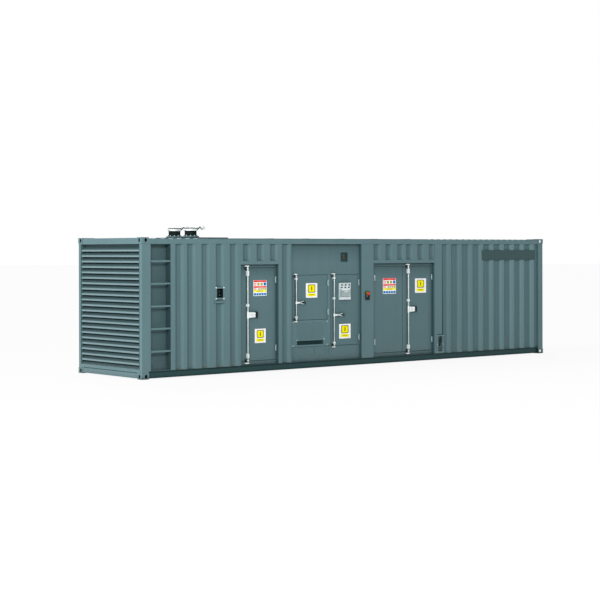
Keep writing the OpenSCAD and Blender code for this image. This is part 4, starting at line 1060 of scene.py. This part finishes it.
BOX_BACK = 0.012
lo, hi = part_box("socket_box")
mid = middle((lo, hi))
back = Vector((mid.x, hi.y - BOX_BACK, mid.z))
bm = bmesh.new()
plate(bm, back, 0.160, 0.190, 0.004, 0.010, 1)
SOCKET = [(30, 0), (30, 22), (26, 30), (22, 30), (22, 12), (0, 12)]
for at in corners(0.038, 0.044):
    foot = back + FRONT * 0.004 + at
    lathe(bm, foot, FRONT, SOCKET, 28, 1, MM)
    lathe(bm, foot + FRONT * 0.012, FRONT, [(6, 0), (6, 8), (0, 8)], 12, unit=MM)
for at in corners(0.101, 0.117):
    hex_bolt(bm, Vector((mid.x, lo.y, mid.z)) + at, FRONT, 0.009, 2)
for side in (-1, 1):
    for across, reach in ((0.080, Vector((0.0008, 0, 0.096))), (0, Vector((0.080, 0, 0.0008)))):
        shift = Vector((side * across, 0, side * 0.0955 * (not across)))
        near = Vector((mid.x, lo.y + 0.003, mid.z)) + shift
        block(bm, near - reach, back + shift + reach, 1)
piece("socket_face", bm, [ZINC, BLACK, BRIGHT], bevel=0.001)
bm = bmesh.new()
ledge = [(0, 0), (0.022, 0), (0.022, 0.030), (0, 0.052)]
prism(bm, ledge, spot(2.105, WALL_Y, 1.513), FRONT, UP, 0.265)
piece("socket_ledge", bm, [PAINT], bevel=0.002)

lo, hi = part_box("fuel_panel")
mid = middle((lo, hi))
back = Vector((mid.x, hi.y - BOX_BACK, 0))
port = back + UP * (hi.z - 0.124)
PORT = [(52, 0), (52, 4), (47, 8), (34, 8), (31, 3), (0, 3)]
bm = bmesh.new()
lathe(bm, port + FRONT * 0.060, FRONT, PORT, 32, 1, MM)
for i in range(12):
    turn = math.pi * i / 6
    at = port + Vector((0.046 * math.cos(turn), -0.030, 0.046 * math.sin(turn)))
    lathe(bm, at, FRONT, [(6, 0), (6, 28), (4, 32), (0, 32)], 8, 1, MM)
for dx, z, r, mat in ((0.000, lo.z + 0.078, 0.010, 2), (0.034, lo.z + 0.148, 0.0065, 3)):
    at = back + Vector((dx, 0, z))
    union = [(r, 0), (r, 0.020), (r * 1.2, 0.022), (r * 1.2, 0.036), (r * 0.8, 0.040), (0, 0.040)]
    lathe(bm, at, FRONT, [(r * 1.5, 0), (r * 1.5, 0.012), (r, 0.012)], 6, mat)
    lathe(bm, at + FRONT * 0.012, FRONT, union, 20, mat)
plate(bm, back + UP * (lo.z + 0.190), 0.100, 0.050, 0.012, 0.006, 1)
for z in (lo.z + 0.018, mid.z - 0.010, hi.z - 0.018):
    for at in corners(0.094, 0, (0,)):
        screw(bm, at + Vector((mid.x, lo.y, z)), FRONT, 0.009)
piece("fuel_fittings", bm, [BRIGHT, BLACK, BRASS, GREY_SOFT], bevel=0.001)
# The lip round the fuel box in paler paint, a painted highlight, with a black strip above it on the wall as
# painted shadow.
LIP = 0.014
bm = bmesh.new()
block(bm, (lo.x - 0.004, lo.y - 0.012, hi.z - LIP), (hi.x + 0.004, lo.y, hi.z))
for x in (lo.x, hi.x - 0.010):
    block(bm, (x, lo.y - 0.008, lo.z + LIP), (x + 0.010, lo.y, hi.z - LIP))
block(bm, (lo.x, lo.y - 0.010, lo.z), (hi.x, lo.y, lo.z + LIP))
block(bm, (lo.x - 0.010, WALL_Y - 0.002, hi.z + 0.006), (hi.x + 0.010, WALL_Y, hi.z + 0.018), 1)
piece("fuel_box_lip", bm, [PALE, BLACK], bevel=0.0015)

# ---- exhausts ----

PIPE_R, RING_R, PIPE_H, RING_H, FLANGE_T, BACKING_TOP = 0.122, 0.142, 0.198, 0.045, 0.014, 0.040
GUARD_Z0, GUARD_Z1 = BACKING_TOP + 0.008, PIPE_H - RING_H - 0.004
STRANDS, STRAND_STEPS, STRAND_TURN = 26, 8, 0.9
BAND = [(RING_R + out * MM, z * MM) for out, z in (
    (-2, 0), (2.5, 0), (3.5, 4), (2.5, 8), (2.5, 34), (3.5, 38), (2.5, 42), (-2, 42))]
BORE = PIPE_R + 0.0006
FLANGE = [(BORE, 0), (0.182, 0), (0.185, 0.003), (0.185, 0.021), (0.180, 0.026), (BORE, 0.026)]
CLAMP_BOLT = [(9, 0), (9, 10), (5, 10), (5, 70), (9, 70), (9, 78), (0, 78)]


def polar(base, radius, turn, z):
    """A point beside an upright axis."""
    return base + Vector((radius * math.cos(turn), radius * math.sin(turn), z))


stubs = sorted(solids("exhaust_outlets"), key=lambda box: box[0].y)
for box, cap in zip(stubs, ("rain_cap_front", "rain_cap_back")):
    base = Vector((box[0].x + size(box).y / 2, middle(box).y, COVER_TOP))
    side = cap.split("_")[-1]
    bm = bmesh.new()
    for k in range(STRANDS):
        for way in (-1, 1):
            path = []
            for i in range(STRAND_STEPS + 1):
                turn = 2 * math.pi * k / STRANDS + way * STRAND_TURN * i / STRAND_STEPS
                z = GUARD_Z0 + (GUARD_Z1 - GUARD_Z0) * i / STRAND_STEPS
                path.append(polar(base, PIPE_R + 0.0035 + 0.0008 * way * (-1) ** i, turn, z))
            tube(bm, path, 0.0028, 5)
    for z in (GUARD_Z0, GUARD_Z1):
        sleeve(bm, base + UP * (z - 0.006), PIPE_R + 0.0004, PIPE_R + 0.008, 0.012, sides=48)
    piece("exhaust_guard_" + side, bm, [HEAT])
    bm = bmesh.new()
    lathe(bm, base + UP * (PIPE_H - RING_H + 0.001), UP, BAND, 64)
    mid_ring = base + UP * (PIPE_H - RING_H / 2)
    for way in (-1, 1):
        lug = mid_ring + Vector((-RING_R - 0.024, way * 0.020, 0))
        half = Vector((0, 0.004, 0.018))
        block(bm, lug - half, lug + half + RIGHT * 0.026)
    lathe(bm, mid_ring + Vector((-RING_R - 0.014, -0.040, 0)), BACK, CLAMP_BOLT, 6, unit=MM)
    piece("exhaust_clamp_" + side, bm, [BRIGHT], bevel=0.0008)
    bm = bmesh.new()
    lathe(bm, base + UP * FLANGE_T, UP, FLANGE, 64)
    piece("exhaust_backing_flange_" + side, bm, [PAINT], bevel=0.001)
    bm = bmesh.new()
    for i in range(10):
        stud(bm, polar(base, 0.146, 2 * math.pi * (i + 0.5) / 10, BACKING_TOP), 0.0085, 0.024)
    piece("exhaust_flange_studs_" + side, bm, [HINGE])
    bm = bmesh.new()
    lid = base + UP * (PIPE_H + 0.006)
    sleeve(bm, lid, RING_R - 0.004, RING_R + 0.002, 0.013, sides=64)
    lathe(bm, lid + UP * 0.008, UP, [(60, 0), (58, 2), (52, 2.6), (50, 0.4)], 48, unit=MM)
    piece(cap + "_rim", bm, [HEAT], cap)
    bm = bmesh.new()
    hub = lid + UP * 0.030
    for dx in (-0.040, 0.040):
        hex_bolt(bm, lid + Vector((dx, 0, 0.034)), UP, 0.007)
    hub.x = high(cap).x - 0.043
    for way in (FRONT, BACK):
        lathe(bm, hub + way * 0.032, way, [(30, 0), (30, 3), (22, 5), (0, 5)], 28, unit=MM)
    piece(cap + "_bolts", bm, [BRIGHT], cap)

lo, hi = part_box("exhaust_cover")
bm = bmesh.new()
lip = [(lo.x, lo.y), (hi.x, lo.y), (hi.x, hi.y), (lo.x, hi.y)]
for (xa, ya), (xb, yb) in zip(lip, lip[1:] + lip[:1]):
    block(bm, (min(xa, xb) - 0.003, min(ya, yb) - 0.003, lo.z + 0.001),
          (max(xa, xb) + 0.003, max(ya, yb) + 0.003, hi.z + 0.010))
piece("exhaust_cover_edge", bm, [COVER], bevel=0.001)
INSET, ROWS_X, ROWS_Y = 0.035, 8, 9
x0, x1, y0, y1 = lo.x + INSET, hi.x - INSET, lo.y + INSET, hi.y - INSET
spots = [(x0 + (x1 - x0) * i / ROWS_X, y) for i in range(ROWS_X + 1) for y in (y0, y1)]
spots += [(x, y0 + (y1 - y0) * i / ROWS_Y) for i in range(1, ROWS_Y) for x in (x0, x1)]
bm = bmesh.new()
for x, y in spots:
    hex_bolt(bm, (x, y, hi.z), UP, 0.008)
piece("exhaust_cover_bolts", bm, [BRIGHT])

# ---- roof, frame and ends ----

FLAT_X0, FLAT_X1, STRIPS = 2.95, 8.1, 5
lo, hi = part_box("roof")
flat_top = low("exhaust_cover").z
bm = bmesh.new()
for i in range(STRIPS):
    x = FLAT_X0 + (FLAT_X1 - FLAT_X0) * (i + 0.5) / STRIPS
    near, far = spot(x - 0.030, lo.y + 0.02, flat_top), spot(x + 0.030, hi.y - 0.02, flat_top + 0.004)
    block(bm, near, far)
piece("roof_seam_strips", bm, [ROOF], bevel=0.0015)

head_z = high("end_rails").z
bm = bmesh.new()
block(bm, spot(0.012, 0.80, head_z), spot(0.150, 1.054, head_z + 0.008))
block(bm, spot(12.042, -1.054, head_z), spot(12.180, -0.80, head_z + 0.008))
for way in (-1, 1):
    block(bm, spot(11.62, way * 1.158, RAIL_TOP), spot(12.012, way * 1.210, RAIL_TOP + 0.014))
piece("corner_doublers", bm, [PAINT], bevel=0.002)

WELD_R, WELD_STEP = 0.0045, 0.01
bm = bmesh.new()
seed = 40
for box in solids("corner_castings"):
    lo, hi = box
    sx, sy = (math.copysign(1, at) for at in middle(box).xy)
    outer_x, inner_x = (hi.x, lo.x) if sx > 0 else (lo.x, hi.x)
    face = hi.y if sy > 0 else lo.y
    top = lo.z > 1
    z = lo.z if top else hi.z
    y, x = face - sy * 0.005, outer_x - sx * 0.005
    foot, head = (WALL_TOP, RAIL_TOP) if top else (0.02, WALL_BOTTOM)
    for a, b in (((outer_x - sx * 0.008, y, z), (inner_x, y, z)),
                 ((x, face - sy * 0.008, z), (x, face - sy * 0.094, z)),
                 ((inner_x, y, max(foot, lo.z + 0.004)), (inner_x, y, min(head, hi.z - 0.004)))):
        bead(bm, a, b, WELD_R, WELD_STEP, seed)
        seed += 1
piece("casting_welds", bm, [CAST])

bm = bmesh.new()
lo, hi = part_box("end_rails")
for way, x in ((-1, lo.x), (1, hi.x)):
    # A dark strip along the sill as painted shadow, and weld beads up the corners.
    block(bm, (x, -1.03, 0.122), (x + way * 0.002, 1.03, 0.138), 1)
    for y in (-1.121, 1.121):
        bead(bm, (x + way * 0.0005, y, 0.21), (x + way * 0.0005, y, 2.75), 0.0035, 0.02, 70 + way, 1)
piece("end_seams_and_shadow_line", bm, [JAMB, DARK])

bm = bmesh.new()
seed = 90
for lo, hi in solids("ladder_rungs"):
    for x in (lo.x, hi.x):
        for z in (lo.z, hi.z):
            bead(bm, (x, lo.y + 0.003, z), (x, hi.y, z), 0.004, 0.008, seed)
            seed += 1
piece("rung_welds", bm, [RECESS])

BLADES, BLADE_PITCH = 21, 0.116
bm = bmesh.new()
lo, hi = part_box("louvre_blades")
for i in range(BLADES):
    for side in (-RIGHT, RIGHT):
        for y in (lo.y + 0.033, hi.y - 0.033):
            at = Vector((0, y, lo.z + BLADE_PITCH * i + 0.018))
            screw(bm, at + side * (abs(lo.x) - 0.0005), side)
piece("blade_rivets", bm, [LOUVRE])

# ---- floor, lamps, world and camera ----

FLOOR_HALF = 400
floor = Finish("studio_floor", roughness=0.9)
floor.shader.inputs["Base Color"].default_value = (0.9, 0.9, 0.9, 1)
rays = floor.node("ShaderNodeLightPath").outputs
seen = floor.math("MAXIMUM", rays["Is Camera Ray"], rays["Is Glossy Ray"])
glow = floor.node("ShaderNodeEmission", {"Strength": 1.0})
layers = {0: floor.times(seen, 0.9), 1: floor.shader.outputs[0], 2: glow.outputs[0]}
blend = floor.node("ShaderNodeMixShader", layers)
floor.feed(floor.tree.nodes["Material Output"].inputs["Surface"], blend.outputs[0])

bm = bmesh.new()
bm.faces.new([bm.verts.new((x * FLOOR_HALF, y * FLOOR_HALF, -0.001))
              for x, y in ((-1, -1), (1, -1), (1, 1), (-1, 1))])
ground = add("studio_floor", mesh_of("studio_floor", bm, [floor.material]))


def light(name, kind, energy, travel, **settings):
    """A lamp that shines along a direction."""
    lamp = bpy.data.lights.new(name, kind)
    lamp.energy = energy
    for key, value in settings.items():
        setattr(lamp, key, value)
    obj = add(name, lamp)
    obj.rotation_euler = Vector(travel).to_track_quat("-Z", "Y").to_euler()
    return obj


KEY_AT = Vector((-26.0, -28.0, 15.0))
key = light("key", "AREA", 8600, Vector((0, WALL_Y, 1.2)) - KEY_AT, shape="DISK", size=9.0)
key.location = KEY_AT
light("end_light", "SUN", 1.58, (1.0, -0.30, -0.42), angle=math.radians(30))
light("rear_fill", "SUN", 0.8, (-0.35, -0.8, -0.5), angle=math.radians(40))

world = bpy.data.worlds.new("studio")
bpy.context.scene.world = world
world.use_nodes = True
sky = Nodes(world.node_tree)
rays = sky.node("ShaderNodeLightPath").outputs
seen = sky.math("MAXIMUM", rays["Is Camera Ray"], rays["Is Glossy Ray"])
seen = sky.math("MAXIMUM", seen, rays["Is Transmission Ray"])
background = sky.tree.nodes["Background"].inputs
background["Color"].default_value = (1, 1, 1, 1)
sky.feed(background["Strength"], sky.ramp(seen, 0.0, 1.0, 0.36, 1.0))

camera = add("camera", bpy.data.cameras.new("camera"))
bpy.context.scene.camera = camera
camera.location = (-23.212, -26.870, 2.606)
turn, tilt, roll = (math.radians(angle) for angle in (39.690, -0.258, -0.127))
ahead = Vector((math.cos(tilt) * math.sin(turn), math.cos(tilt) * math.cos(turn), math.sin(tilt)))
across = Vector((math.cos(turn), -math.sin(turn), 0))
above = across.cross(ahead)
rolled = across * math.cos(roll) + above * math.sin(roll)
above = above * math.cos(roll) - across * math.sin(roll)
camera.rotation_euler = Matrix((rolled, above, -ahead)).transposed().to_euler()
camera.data.lens = 90.81
camera.data.shift_y = -0.0702
camera.data.clip_end = 300

bpy.context.scene.view_settings.view_transform = "Standard"
